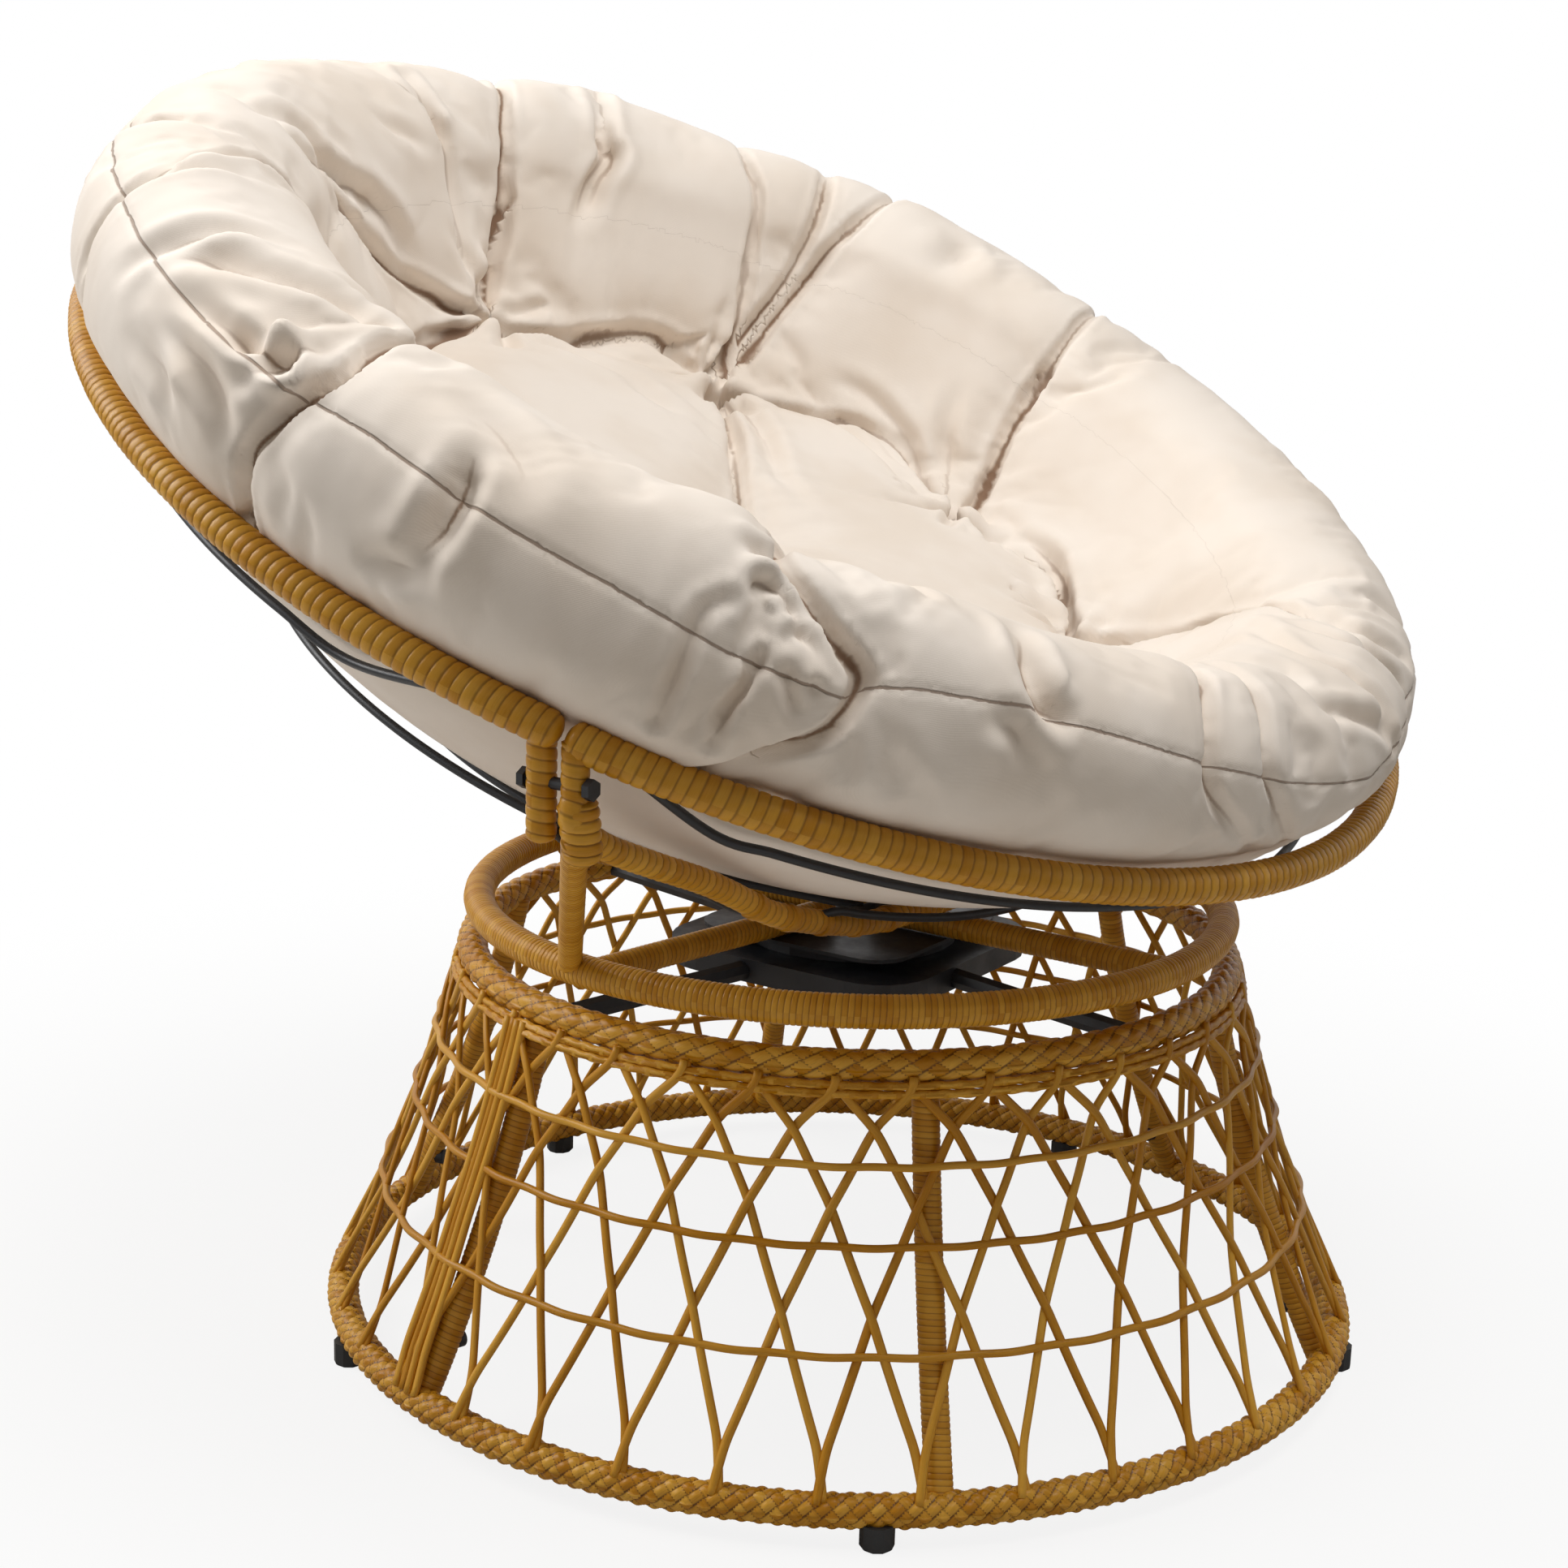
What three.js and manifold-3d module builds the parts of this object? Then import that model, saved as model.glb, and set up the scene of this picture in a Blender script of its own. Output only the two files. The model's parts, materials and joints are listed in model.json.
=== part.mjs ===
// A round bowl chair: a tufted cushion in a wrapped cane hoop that turns on a bell-shaped open cane base.
// Millimetres, +Z up, the floor at zero, the front looks along -Y.
import * as THREE from "three";
import { mergeVertices } from "three/addons/utils/BufferGeometryUtils.js";
import Module from "manifold-3d";

const wasm = await Module();
wasm.setup();

// Clearances and cutting
const gap = 0.3; // between pieces that touch
const overrun = 3; // how far a cutter runs past what it cuts
const weld = 0.001; // vertices nearer than this are one

// Base
const footHeight = 12;
const footRadius = 12;
const footEdge = 1.5; // chamfer of a glide
const footOutset = 3.6; // the glides stand this far outside the ring's middle line
const footCount = 5;
const footFirstTurn = 0.7; // degrees
const bottomRingRadius = 393.4;
const bottomRingTube = 12;
const bottomRingHeight = footHeight + bottomRingTube;
const topRingRadius = 292.9;
const topRingTube = 11.4;
const topRingHeight = 300.5;
const legTube = 10;
const legCount = 6;
const legFirstTurn = 43;

// Skirt of crossing cane strands between the two rings
const skirtFlareShares = [0.62, 0.38]; // linear and square part of the bell's flare
const skirtTopRadius = topRingRadius + topRingTube; // outer face of the cane at the top ring
const skirtFootRadius = bottomRingRadius + bottomRingTube; // and at the middle of the bottom ring
const strandWidth = 6.6;
const strandThickness = 5;
const anchorCount = 36;
const anchorLead = 8; // degrees from a leg to the next anchor
const bundleHeight = 32; // the two strands of an anchor rise as one over this height
const crossingShares = [0.34, 0.648, 0.88, 1]; // heights of the crossings, from the bundles to the band
const tieDrop = 24; // the level hoops lie this far under the first three crossings
const bandDrop = 12; // the top band lies this far under the middle of the top ring

// Swivel
const armTube = 8;
const armCount = 4;
const armFirstTurn = 77.3;
const lowerPlateWidth = 224;
const lowerPlateCorner = 45;
const lowerPlateDepth = 18;
const plateSteel = 3;
const lowerPlateDrop = 10; // from the middle of the top ring down to the rim of the lower plate
const raceRadius = 84;
const raceWidth = 14;
const raceHeight = 8;
const upperPlateWidth = 180;
const upperPlateCorner = 30;
const pinRadius = 8;
const pinHeadRadius = 15;
const pinHeadHeight = 5;
const pinPlay = 0.5; // round the pin, in both plates
const swivelRingRadius = 287.8;
const swivelRingTube = 12;
const swivelRingLift = 7.1; // over the middle lines of the crossbars
const crossbarTube = 10;
const crossbarInnerEnd = 26; // distance of a bar's inner end from the axis
const crossbarTurns = [10, 90, 170, 270];

// Bowl frame. The hoop's plane is tilted about X so that its front is low.
const hoopRadius = 520;
const hoopTube = 12.5;
const hoopTilt = 23.18; // degrees
const hoopSetback = 93.4; // of the hoop's centre behind the swivel axis
const hoopSplit = 67; // degrees from the front to the butt joint at each side
const bowlDepth = 245; // from the hoop's plane to the middle of the bowl
const bowlLift = 29.4; // of the bowl over the crossbars at the front spine
const spineTube = 9;
const spineDrop = 52; // under the bowl at the spine's ends
const postOutset = 2; // the posts stand this far outside the hoop's middle line
const postHeight = 60.8; // from the spine's bend up to the hoop's middle line
const frontSpineSetback = -101;
const rearSpineSetback = -75;
const spineXShares = [0, 0.22, 0.35, 0.53, 0.65, 0.72, 0.84, 0.94, 1];
const spineDropShares = [0.03, 0.11, 0.175, 0.23, 0.2, 0.25, 0.53, 0.87, 1];
const rearPostTube = 9.7;
const rearSpineTube = 5;
const braceTube = 8.7;
const braceTurn = 11; // degrees behind the X axis where a brace stands on the swivel ring
const rodTube = 3.3;
const rodLevels = {
  rear_rod_upper: { depthShare: 0.2, reach: 77 },
  rear_rod_middle: { depthShare: 0.612, reach: 44 },
  rear_rod_lower: { depthShare: 0.816, reach: 25 },
  front_rod_upper: { depthShare: 0.184, reach: 60 },
  front_rod_middle: { depthShare: 0.612, reach: 37 },
};
const rodHook = 4; // degrees over which a rod's end turns up to the hoop
const boltRadius = 4;
const boltHeadRadius = 7;
const boltHeadHeight = 5;
const boltDrop = 27.8; // under the hoop's middle line
const boltPlay = 0.4;

// Cushion, in the hoop's own frame: distance from its axis and height over its plane
const cushionOverhang = 25; // of the rolled rim past the hoop's middle line
const cushionRest = 1.2; // between the cushion and the frame
const rollRadius = 85; // of the rolled rim's section
const rollHeight = 70; // of the middle of that section over the hoop's plane
const seatDepth = 44; // of the middle of the seat under the hoop's plane
const seatCrown = 26; // of the seat's swell between its middle and the tufts
const tuftRadius = 285; // of the ring of tufts round the seat
const tuftSink = 14; // of that ring under the hoop's plane
const tuftCount = 8;
const tuftLead = -5; // degrees
const tuftDepth = 24;
const tuftWidth = 44;
const creaseDepth = 32; // of the crease from each tuft over the rim
const frontSag = 45; // the rim is lower by this much at its lowest
const frontDraw = 27; // and drawn in by this much
const sagTurn = 25; // degrees

// Finishes
const finishes = {
  wrap: { color: 0xb9803a, roughness: 0.45, metalness: 0 },
  braid: { color: 0xc08a42, roughness: 0.5, metalness: 0 },
  strand: { color: 0xb27a33, roughness: 0.5, metalness: 0 },
  steel: { color: 0x15161a, roughness: 0.4, metalness: 0.6 },
  glide: { color: 0x101010, roughness: 0.7, metalness: 0 },
  cloth: { color: 0xe6dac6, roughness: 0.95, metalness: 0 },
};

const halfTurn = 180;
const fullTurn = 2 * halfTurn;
const rad = THREE.MathUtils.degToRad;
const at = (x, y, z) => new THREE.Vector3(x, y, z);
const polar = (radius, turn, z) => at(radius * Math.cos(rad(turn)), radius * Math.sin(rad(turn)), z);

// Solids

function solid(geometry) {
  const bare = geometry.clone();
  bare.deleteAttribute("normal");
  bare.deleteAttribute("uv");
  const merged = mergeVertices(bare, weld);
  const mesh = new wasm.Mesh({
    numProp: 3,
    vertProperties: merged.attributes.position.array,
    triVerts: Uint32Array.from(merged.index.array),
  });
  return new wasm.Manifold(mesh);
}

function geometryOf(body) {
  const mesh = body.getMesh();
  const geometry = new THREE.BufferGeometry();
  geometry.setAttribute("position", new THREE.BufferAttribute(new Float32Array(mesh.vertProperties), 3));
  geometry.setIndex(new THREE.BufferAttribute(new Uint32Array(mesh.triVerts), 1));
  geometry.computeVertexNormals();
  return geometry;
}

const join = (bodies) => bodies.reduce((sum, body) => sum.add(body));
const cut = (body, cutters) => cutters.reduce((rest, cutter) => rest.subtract(cutter), body);

function roundSection(radius, sides) {
  const corners = Array.from({ length: sides }, (_, i) => {
    const turn = (2 * Math.PI * i) / sides;
    return new THREE.Vector2(radius * Math.cos(turn), radius * Math.sin(turn));
  });
  return new THREE.Shape(corners);
}

// A round tube along a curve, with flat ends.
function tube(curve, radius, steps, sides) {
  return solid(new THREE.ExtrudeGeometry(roundSection(radius, sides), { steps, extrudePath: curve }));
}

const smooth = (points) => new THREE.CatmullRomCurve3(points, false, "centripetal");
const straight = (from, to) => new THREE.LineCurve3(from, to);

// A level ring round the Z axis.
function ring(radius, tubeRadius, height, steps, sides) {
  return solid(new THREE.TorusGeometry(radius, tubeRadius, sides, steps).translate(0, 0, height));
}

// A plate or block with round corners, centred on the Z axis.
function roundedBlock(width, corner, low, high) {
  const half = width / 2;
  const shape = new THREE.Shape();
  for (const [side, x, y] of [[0, 1, 1], [1, -1, 1], [2, -1, -1], [3, 1, -1]])
    shape.absarc(x * (half - corner), y * (half - corner), corner, rad(90 * side), rad(90 * side + 90));
  const settings = { depth: high - low, bevelEnabled: false, curveSegments: 3 };
  return solid(new THREE.ExtrudeGeometry(shape, settings).translate(0, 0, low));
}

// A turned piece on the Z axis from a profile of radius and height.
function turned(profile, sides) {
  return solid(new THREE.LatheGeometry(profile.map(([x, y]) => new THREE.Vector2(x, y)), sides)
    .rotateX(rad(90)));
}

class HoopArc extends THREE.Curve {
  constructor(radius, height, from, to) {
    super();
    Object.assign(this, { radius, height, from, to });
  }

  getPoint(share) {
    return hoopPoint(this.radius, THREE.MathUtils.lerp(this.from, this.to, share), this.height);
  }
}

// Base

const ringSteps = 40;
const ringSides = 8;
const bottomRing = (room) =>
  ring(bottomRingRadius, bottomRingTube + room, bottomRingHeight, ringSteps, ringSides);
const topRing = (room) => ring(topRingRadius, topRingTube + room, topRingHeight, ringSteps, ringSides);

// The outer face of the cane skirt at a height.
function skirtRadius(height) {
  const fall = (topRingHeight - height) / (topRingHeight - bottomRingHeight);
  const flare = skirtFlareShares[0] * fall + skirtFlareShares[1] * fall ** 2;
  return skirtTopRadius + (skirtFootRadius - skirtTopRadius) * flare;
}

// The legs stand inside the skirt, whose slope is steepest at its foot.
const steepest = ((skirtFootRadius - skirtTopRadius) * (skirtFlareShares[0] + 2 * skirtFlareShares[1]))
  / (topRingHeight - bottomRingHeight);
const legInset = (strandThickness + gap + legTube) * Math.hypot(1, steepest);
const legLow = bottomRingHeight;
const legHigh = topRingHeight - topRingTube / 2;

function legCurve(turn) {
  const levels = 6;
  const points = Array.from({ length: levels }, (_, i) => {
    const height = THREE.MathUtils.lerp(legLow, legHigh, i / (levels - 1));
    return polar(skirtRadius(height) - legInset, turn, height);
  });
  return smooth(points);
}

const legTurns = Array.from({ length: legCount }, (_, i) => legFirstTurn + (fullTurn * i) / legCount);

function leg(turn) {
  return cut(tube(legCurve(turn), legTube, 5, 8), [bottomRing(gap), topRing(gap)]);
}

function foot(turn) {
  const high = bottomRingHeight - bottomRingTube / 2;
  const profile = [[0, 0], [footRadius - footEdge, 0], [footRadius, footEdge], [footRadius, high], [0, high]];
  const place = polar(bottomRingRadius + footOutset, turn, 0);
  return cut(turned(profile, 10).translate(place.x, place.y, 0), [bottomRing(gap)]);
}

// Skirt

// The middle lines of the strands and hoops are a net of points, given as turn and height. From each
// anchor one strand leans to either side by half a pitch per crossing.
const anchorPitch = fullTurn / anchorCount;
const bundleTop = bottomRingHeight + bottomRingTube + bundleHeight;
const bandHeight = topRingHeight - bandDrop;
const crossingHeights = crossingShares.map((share) => THREE.MathUtils.lerp(bundleTop, bandHeight, share));
const tieHeights = crossingHeights.slice(0, -1).map((height) => height - tieDrop);
const lastCrossing = crossingHeights.length;

// How far a strand has drifted from its anchor at a height, in degrees.
function drift(height) {
  const heights = [bundleTop, ...crossingHeights];
  const above = Math.max(1, heights.findIndex((level) => level >= height));
  const share = (height - heights[above - 1]) / (heights[above] - heights[above - 1]);
  return ((above - 1 + share) * anchorPitch) / 2;
}

const anchorTurn = (j) => legFirstTurn + anchorLead + j * anchorPitch;
const netPoint = (kind, level, anchor, turn, height) =>
  ({ key: `${kind}${level}_${(anchor + anchorCount) % anchorCount}`, turn, height });
const footPoint = (j) => netPoint("foot", 0, j, anchorTurn(j), bottomRingHeight + bottomRingTube + gap);
const forkPoint = (j) => netPoint("fork", 0, j, anchorTurn(j), bundleTop);
// Crossing k of the strand that leans right from anchor j.
const crossing = (k, j) =>
  netPoint("crossing", k, j, anchorTurn(j) + (k * anchorPitch) / 2, crossingHeights[k - 1]);
// Where the strand that leans right or left from anchor j passes tie k; the last tie is the band.
function onTie(k, j, lean) {
  if (k === lastCrossing) return crossing(k, lean > 0 ? j : j - k);
  const height = tieHeights[k - 1];
  return netPoint(lean > 0 ? "right" : "left", k, j, anchorTurn(j) + lean * drift(height), height);
}

// The openings of the net, each named by its corners anticlockwise as seen from outside.
function openings() {
  const anchors = Array.from({ length: anchorCount }, (_, j) => j);
  const inner = anchors.flatMap((j) => {
    const list = [[forkPoint(j), onTie(1, j, 1), onTie(1, j, -1)]];
    for (let k = 1; k < lastCrossing; k += 1) {
      const top = [onTie(k + 1, j + 1 + k, -1), onTie(k + 1, j, 1)];
      list.push([onTie(k, j, 1), onTie(k, j + k, -1), crossing(k, j)]);
      list.push([crossing(k, j), onTie(k + 1, j, 1), onTie(k + 1, j + k, -1)]);
      list.push([onTie(k, j + k, -1), onTie(k, j + 1, 1), crossing(k, j + 1),
        ...(k + 1 === lastCrossing ? [top[0]] : top), crossing(k, j)]);
    }
    return list;
  });
  const below = [...anchors].reverse().flatMap((j) =>
    [onTie(1, j, -1), forkPoint(j), footPoint(j), forkPoint(j), onTie(1, j, 1)].reverse());
  const above = anchors.map((j) => crossing(lastCrossing, j));
  return [...inner, below, above];
}

// The offset along the skirt's face from one point of the net to another.
function stride(from, to) {
  const turn = THREE.MathUtils.euclideanModulo(to.turn - from.turn + halfTurn, fullTurn) - halfTurn;
  const middle = (from.height + to.height) / 2;
  const slope = skirtRadius(to.height) - skirtRadius(from.height);
  const rise = Math.hypot(to.height - from.height, slope) * Math.sign(to.height - from.height);
  return new THREE.Vector2(rad(turn) * skirtRadius(middle), rise).normalize();
}

// The corner of an opening, half a strand's width inside the middle lines that meet there.
function insetCorners(before, corner, after) {
  const [into, out] = [stride(before, corner), stride(corner, after)];
  const [n1, n2] = [into, out].map((d) => new THREE.Vector2(-d.y, d.x));
  const shift = (v) => ({
    turn: corner.turn + THREE.MathUtils.radToDeg(v.x / skirtRadius(corner.height)),
    height: corner.height + v.y / Math.hypot(1, steepest / 2),
  });
  if (before.key === after.key) return [n1, n2].map((n) => shift(n.multiplyScalar(strandWidth / 2)));
  const corners = n1.clone().add(n2).multiplyScalar(strandWidth / 2 / (1 + n1.dot(n2)));
  return [shift(corners)];
}

function skirt() {
  const positions = [];
  const index = [];
  const edges = new Map();
  const vertexPair = ({ turn, height }) => {
    const radius = skirtRadius(height);
    positions.push(...polar(radius, turn, height).toArray());
    positions.push(...polar(radius - strandThickness, turn, height).toArray());
    return positions.length / 3 - 2;
  };
  const face = (a, b, c) => index.push(a, b, c, c + 1, b + 1, a + 1);
  const wall = (a, b) => index.push(a, b, b + 1, a, b + 1, a + 1);
  openings().forEach((corners) => {
    const count = corners.length;
    const insets = corners.map((corner, i) =>
      insetCorners(corners[(i + count - 1) % count], corner, corners[(i + 1) % count]).map(vertexPair));
    const sides = corners.map((corner, i) => {
      const next = (i + 1) % count;
      const side = { from: corner.key, to: corners[next].key, start: insets[i].at(-1), end: insets[next][0] };
      edges.set(`${side.from} ${side.to}`, side);
      wall(side.start, side.end);
      if (insets[i].length > 1) wall(insets[i][0], insets[i][1]);
      return side;
    });
    sides.forEach((side, i) => {
      side.previous = sides[(i + count - 1) % count];
    });
  });
  const twin = (side) => edges.get(`${side.to} ${side.from}`);
  const done = new Set();
  edges.forEach((side) => {
    const other = twin(side);
    if (side.from < side.to) {
      face(side.start, other.end, other.start);
      face(side.start, other.start, side.end);
    }
    if (done.has(side.from)) return;
    done.add(side.from);
    const around = [];
    let turnSide = side;
    do {
      around.push(turnSide.start);
      turnSide = twin(turnSide.previous);
    } while (turnSide !== side);
    for (let i = 1; i < around.length - 1; i += 1) face(around[0], around[i], around[i + 1]);
  });
  const geometry = new THREE.BufferGeometry();
  geometry.setAttribute("position", new THREE.Float32BufferAttribute(positions, 3));
  geometry.setIndex(index);
  return solid(geometry);
}

// The sector between two legs, drawn in by half a gap at each side.
function sector(turn) {
  const reach = 2 * skirtFootRadius;
  const half = halfTurn / legCount;
  const apex = gap / 2 / Math.sin(rad(half));
  const shape = new THREE.Shape([
    new THREE.Vector2(apex, 0),
    new THREE.Vector2(apex + reach * Math.cos(rad(half)), -reach * Math.sin(rad(half))),
    new THREE.Vector2(apex + reach * Math.cos(rad(half)), reach * Math.sin(rad(half))),
  ]);
  const wedge = new THREE.ExtrudeGeometry(shape, { depth: topRingHeight + overrun, bevelEnabled: false });
  return solid(wedge.rotateZ(rad(turn + half)));
}

// Swivel

const lowerPlateRim = topRingHeight - lowerPlateDrop;
const lowerPlateTop = lowerPlateRim + lowerPlateDepth;
const raceLow = lowerPlateTop + gap;
const upperPlateLow = raceLow + raceHeight + gap;
const upperPlateTop = upperPlateLow + plateSteel;
const crossbarHeight = upperPlateTop + gap + crossbarTube;
const swivelRingHeight = crossbarHeight + swivelRingLift;
const pinHole = (low, high) => turned(
  [[0, low], [pinRadius + pinPlay, low], [pinRadius + pinPlay, high], [0, high]], 16);

function lowerPlate() {
  const outer = roundedBlock(lowerPlateWidth, lowerPlateCorner, lowerPlateRim, lowerPlateTop);
  const inner = roundedBlock(lowerPlateWidth - 2 * plateSteel, lowerPlateCorner - plateSteel,
    lowerPlateRim - overrun, lowerPlateTop - plateSteel);
  return cut(outer, [inner, pinHole(lowerPlateRim, lowerPlateTop + overrun)]);
}

function race() {
  const inner = raceRadius - raceWidth;
  const high = raceLow + raceHeight;
  return turned([[inner, raceLow], [raceRadius, raceLow], [raceRadius, high], [inner, high],
    [inner, raceLow]], 24);
}

function upperPlate() {
  const plate = roundedBlock(upperPlateWidth, upperPlateCorner, upperPlateLow, upperPlateTop);
  return cut(plate, [pinHole(upperPlateLow - overrun, upperPlateTop + overrun)]);
}

// The rivet on the axis, with a head under the lower plate and one over the upper plate.
function pin() {
  const low = lowerPlateTop - plateSteel - gap;
  const high = upperPlateTop + gap;
  return turned([
    [0, low - pinHeadHeight], [pinHeadRadius, low - pinHeadHeight], [pinHeadRadius, low], [pinRadius, low],
    [pinRadius, high], [pinHeadRadius, high], [pinHeadRadius, high + pinHeadHeight],
    [0, high + pinHeadHeight],
  ], 16);
}

function baseArm(turn) {
  const height = lowerPlateRim + armTube;
  const line = straight(polar(0, turn, height), polar(topRingRadius, turn, height));
  const plate = roundedBlock(lowerPlateWidth + 2 * gap, lowerPlateCorner + gap,
    lowerPlateRim - overrun, lowerPlateTop + overrun);
  return cut(tube(line, armTube, 1, 8), [plate, topRing(gap)]);
}

const swivelRing = (room) =>
  ring(swivelRingRadius, swivelRingTube + room, swivelRingHeight, ringSteps, ringSides);

function crossbar(turn) {
  const line = straight(polar(crossbarInnerEnd, turn, crossbarHeight),
    polar(swivelRingRadius, turn, crossbarHeight));
  return cut(tube(line, crossbarTube, 1, 10), [swivelRing(gap)]);
}

// Bowl frame

// The bowl is part of a sphere through the hoop's middle line. It hangs so low that the front spine passes
// just over the crossbars.
const bowlRadius = (hoopRadius ** 2 + bowlDepth ** 2) / (2 * bowlDepth);
const bowlMiddleSetback = hoopSetback - (bowlRadius - bowlDepth) * Math.sin(rad(hoopTilt));
const bowlMiddleHeight = crossbarHeight + bowlLift
  + Math.sqrt(bowlRadius ** 2 - (frontSpineSetback - bowlMiddleSetback) ** 2);
const hoopCentreHeight = bowlMiddleHeight - (bowlRadius - bowlDepth) * Math.cos(rad(hoopTilt));
const bowlReach = (depth) => Math.sqrt(bowlRadius ** 2 - (bowlRadius - bowlDepth + depth) ** 2);
const bowlFloor = (x, y) =>
  bowlMiddleHeight - Math.sqrt(bowlRadius ** 2 - x ** 2 - (y - bowlMiddleSetback) ** 2);

const hoopUp = at(0, -Math.sin(rad(hoopTilt)), Math.cos(rad(hoopTilt)));
const hoopBack = at(0, Math.cos(rad(hoopTilt)), Math.sin(rad(hoopTilt)));
const hoopCentre = at(0, hoopSetback, hoopCentreHeight);

// A point by its distance from the hoop's axis, its turn from the front and its height over the plane.
function hoopPoint(radius, turn, height) {
  return hoopCentre
    .clone()
    .addScaledVector(at(1, 0, 0), radius * Math.sin(rad(turn)))
    .addScaledVector(hoopBack, -radius * Math.cos(rad(turn)))
    .addScaledVector(hoopUp, height);
}

const hoopSolid = (from, to, room, steps) =>
  tube(new HoopArc(hoopRadius, 0, from, to), hoopTube + room, steps, 8);
const splitGap = THREE.MathUtils.radToDeg(gap / 2 / hoopRadius);
const hoopFront = (room) => hoopSolid(-hoopSplit + splitGap, hoopSplit - splitGap, room, 22);
const hoopRear = (room) => hoopSolid(hoopSplit + splitGap, fullTurn - hoopSplit - splitGap, room, 38);

// The height of the hoop's middle line over a setback, near the posts.
function postTop(setback) {
  const along = (setback - hoopSetback) / Math.cos(rad(hoopTilt));
  return hoopCentreHeight + along * Math.sin(rad(hoopTilt));
}

// The posts stand under the hoop, and the spines hang a little under the bowl.
const frontAlong = (frontSpineSetback - hoopSetback) / Math.cos(rad(hoopTilt));
const spineSpread = Math.sqrt(hoopRadius ** 2 - frontAlong ** 2) + postOutset;
const spineBend = postTop(frontSpineSetback) - postHeight;
const boltHeight = postTop(frontSpineSetback) - boltDrop;

const spineHeight = (x, setback, dropShare) => bowlFloor(x, setback) - spineDrop * dropShare;

function spineCurve(setback, top) {
  const side = spineXShares.map((share, i) => {
    const x = share * spineSpread;
    return at(x, setback, spineHeight(x, setback, spineDropShares[i]));
  });
  const right = [...side, at(spineSpread, setback, THREE.MathUtils.lerp(spineBend, top, 0.5)),
    at(spineSpread, setback, top)];
  const left = right.slice(1).reverse().map((p) => at(-p.x, p.y, p.z));
  return smooth([...left, ...right]);
}

const frontSpineSolid = (room) =>
  tube(spineCurve(frontSpineSetback, postTop(frontSpineSetback)), spineTube + room, 26, 8);
const rearPostLow = spineBend;
const rearSpineSolid = (room) =>
  tube(spineCurve(rearSpineSetback, rearPostLow + overrun), rearSpineTube + room, 26, 6);

function bolt(side, room) {
  const low = frontSpineSetback - spineTube - boltHeadHeight;
  const high = rearSpineSetback + rearPostTube + boltHeadHeight;
  const headLow = low + boltHeadHeight - gap;
  const headHigh = high - boltHeadHeight + gap;
  const shank = turned([[0, low], [boltRadius + room, low], [boltRadius + room, high], [0, high]], 12);
  const heads = [[low - gap, headLow], [headHigh, high + gap]].map(([from, to]) =>
    turned([[0, from], [boltHeadRadius, from], [boltHeadRadius, to], [0, to]], 6));
  const body = room ? shank : join([shank, ...heads]);
  return body.rotate([-90, 0, 0]).translate(side * spineSpread, 0, boltHeight);
}

const boltHoles = () => [bolt(-1, boltPlay), bolt(1, boltPlay)];

function frontSpine() {
  return cut(frontSpineSolid(0), [hoopFront(gap), hoopRear(gap), ...boltHoles()]);
}

function rearPostSolid(side, room) {
  const x = side * spineSpread;
  const line = straight(at(x, rearSpineSetback, rearPostLow),
    at(x, rearSpineSetback, postTop(rearSpineSetback)));
  return tube(line, rearPostTube + room, 1, 8);
}

const rearPost = (side) =>
  cut(rearPostSolid(side, 0), [hoopRear(gap), hoopFront(gap), bolt(side, boltPlay)]);

function rearSpine() {
  const posts = [-1, 1].map((side) => {
    const x = side * spineSpread;
    return tube(straight(at(x, rearSpineSetback, rearPostLow - gap),
      at(x, rearSpineSetback, rearPostLow + 2 * rearPostTube)), rearPostTube + gap, 1, 8);
  });
  return cut(rearSpineSolid(0), posts);
}

function braceSolid(side, room) {
  const foot = polar(swivelRingRadius, side > 0 ? braceTurn : halfTurn - braceTurn, swivelRingHeight);
  const top = at(side * spineSpread, frontSpineSetback, spineBend);
  return tube(straight(foot, top), braceTube + room, 1, 8);
}

const brace = (side) =>
  cut(braceSolid(side, 0), [swivelRing(gap), frontSpineSolid(gap), rearSpineSolid(gap)]);

// A rod along one level of the bowl. Upper rods turn up into the hoop, the others end on their spine.
function rodCurve(name) {
  const { depthShare, reach } = rodLevels[name];
  const depth = depthShare * bowlDepth;
  const rear = name.startsWith("rear");
  const middle = rear ? halfTurn : 0;
  const span = rear ? halfTurn - reach : reach;
  const radius = bowlReach(depth);
  const count = 24;
  const points = Array.from({ length: count + 1 }, (_, i) =>
    hoopPoint(radius, middle + span * ((2 * i) / count - 1), -depth));
  const upper = name.endsWith("upper");
  const setback = rear ? rearSpineSetback : frontSpineSetback;
  const ends = [-1, 1].map((side) => {
    if (upper) return hoopPoint(hoopRadius, middle + side * (span + rodHook), 0);
    const last = side < 0 ? points[0] : points[count];
    const share = Math.abs(last.x) / spineSpread;
    const i = spineXShares.findIndex((x) => x > share);
    const between = (share - spineXShares[i - 1]) / (spineXShares[i] - spineXShares[i - 1]);
    const dropShare = THREE.MathUtils.lerp(spineDropShares[i - 1], spineDropShares[i], between);
    return at(last.x, setback, spineHeight(last.x, setback, dropShare) + rodTube);
  });
  return smooth([ends[0], ...points.slice(1, -1), ends[1]]);
}

const rodSolid = (name, room) => tube(rodCurve(name), rodTube + room, 20, 6);

function rod(name) {
  const spines = [frontSpineSolid(gap), rearSpineSolid(gap)];
  return cut(rodSolid(name, 0), [hoopFront(gap), hoopRear(gap), ...spines]);
}

// Cushion

// Half of the cushion's section as distance from the axis, height over the hoop's plane and share of the
// crease's depth, from the seat out over the rolled rim and back under it to the middle.
const cushionRadius = hoopRadius + cushionOverhang;
const rollMiddle = cushionRadius - rollRadius;
const cushionUnder = (radius) =>
  bowlRadius - bowlDepth - Math.sqrt((bowlRadius - rodTube - cushionRest) ** 2 - radius ** 2);

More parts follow.
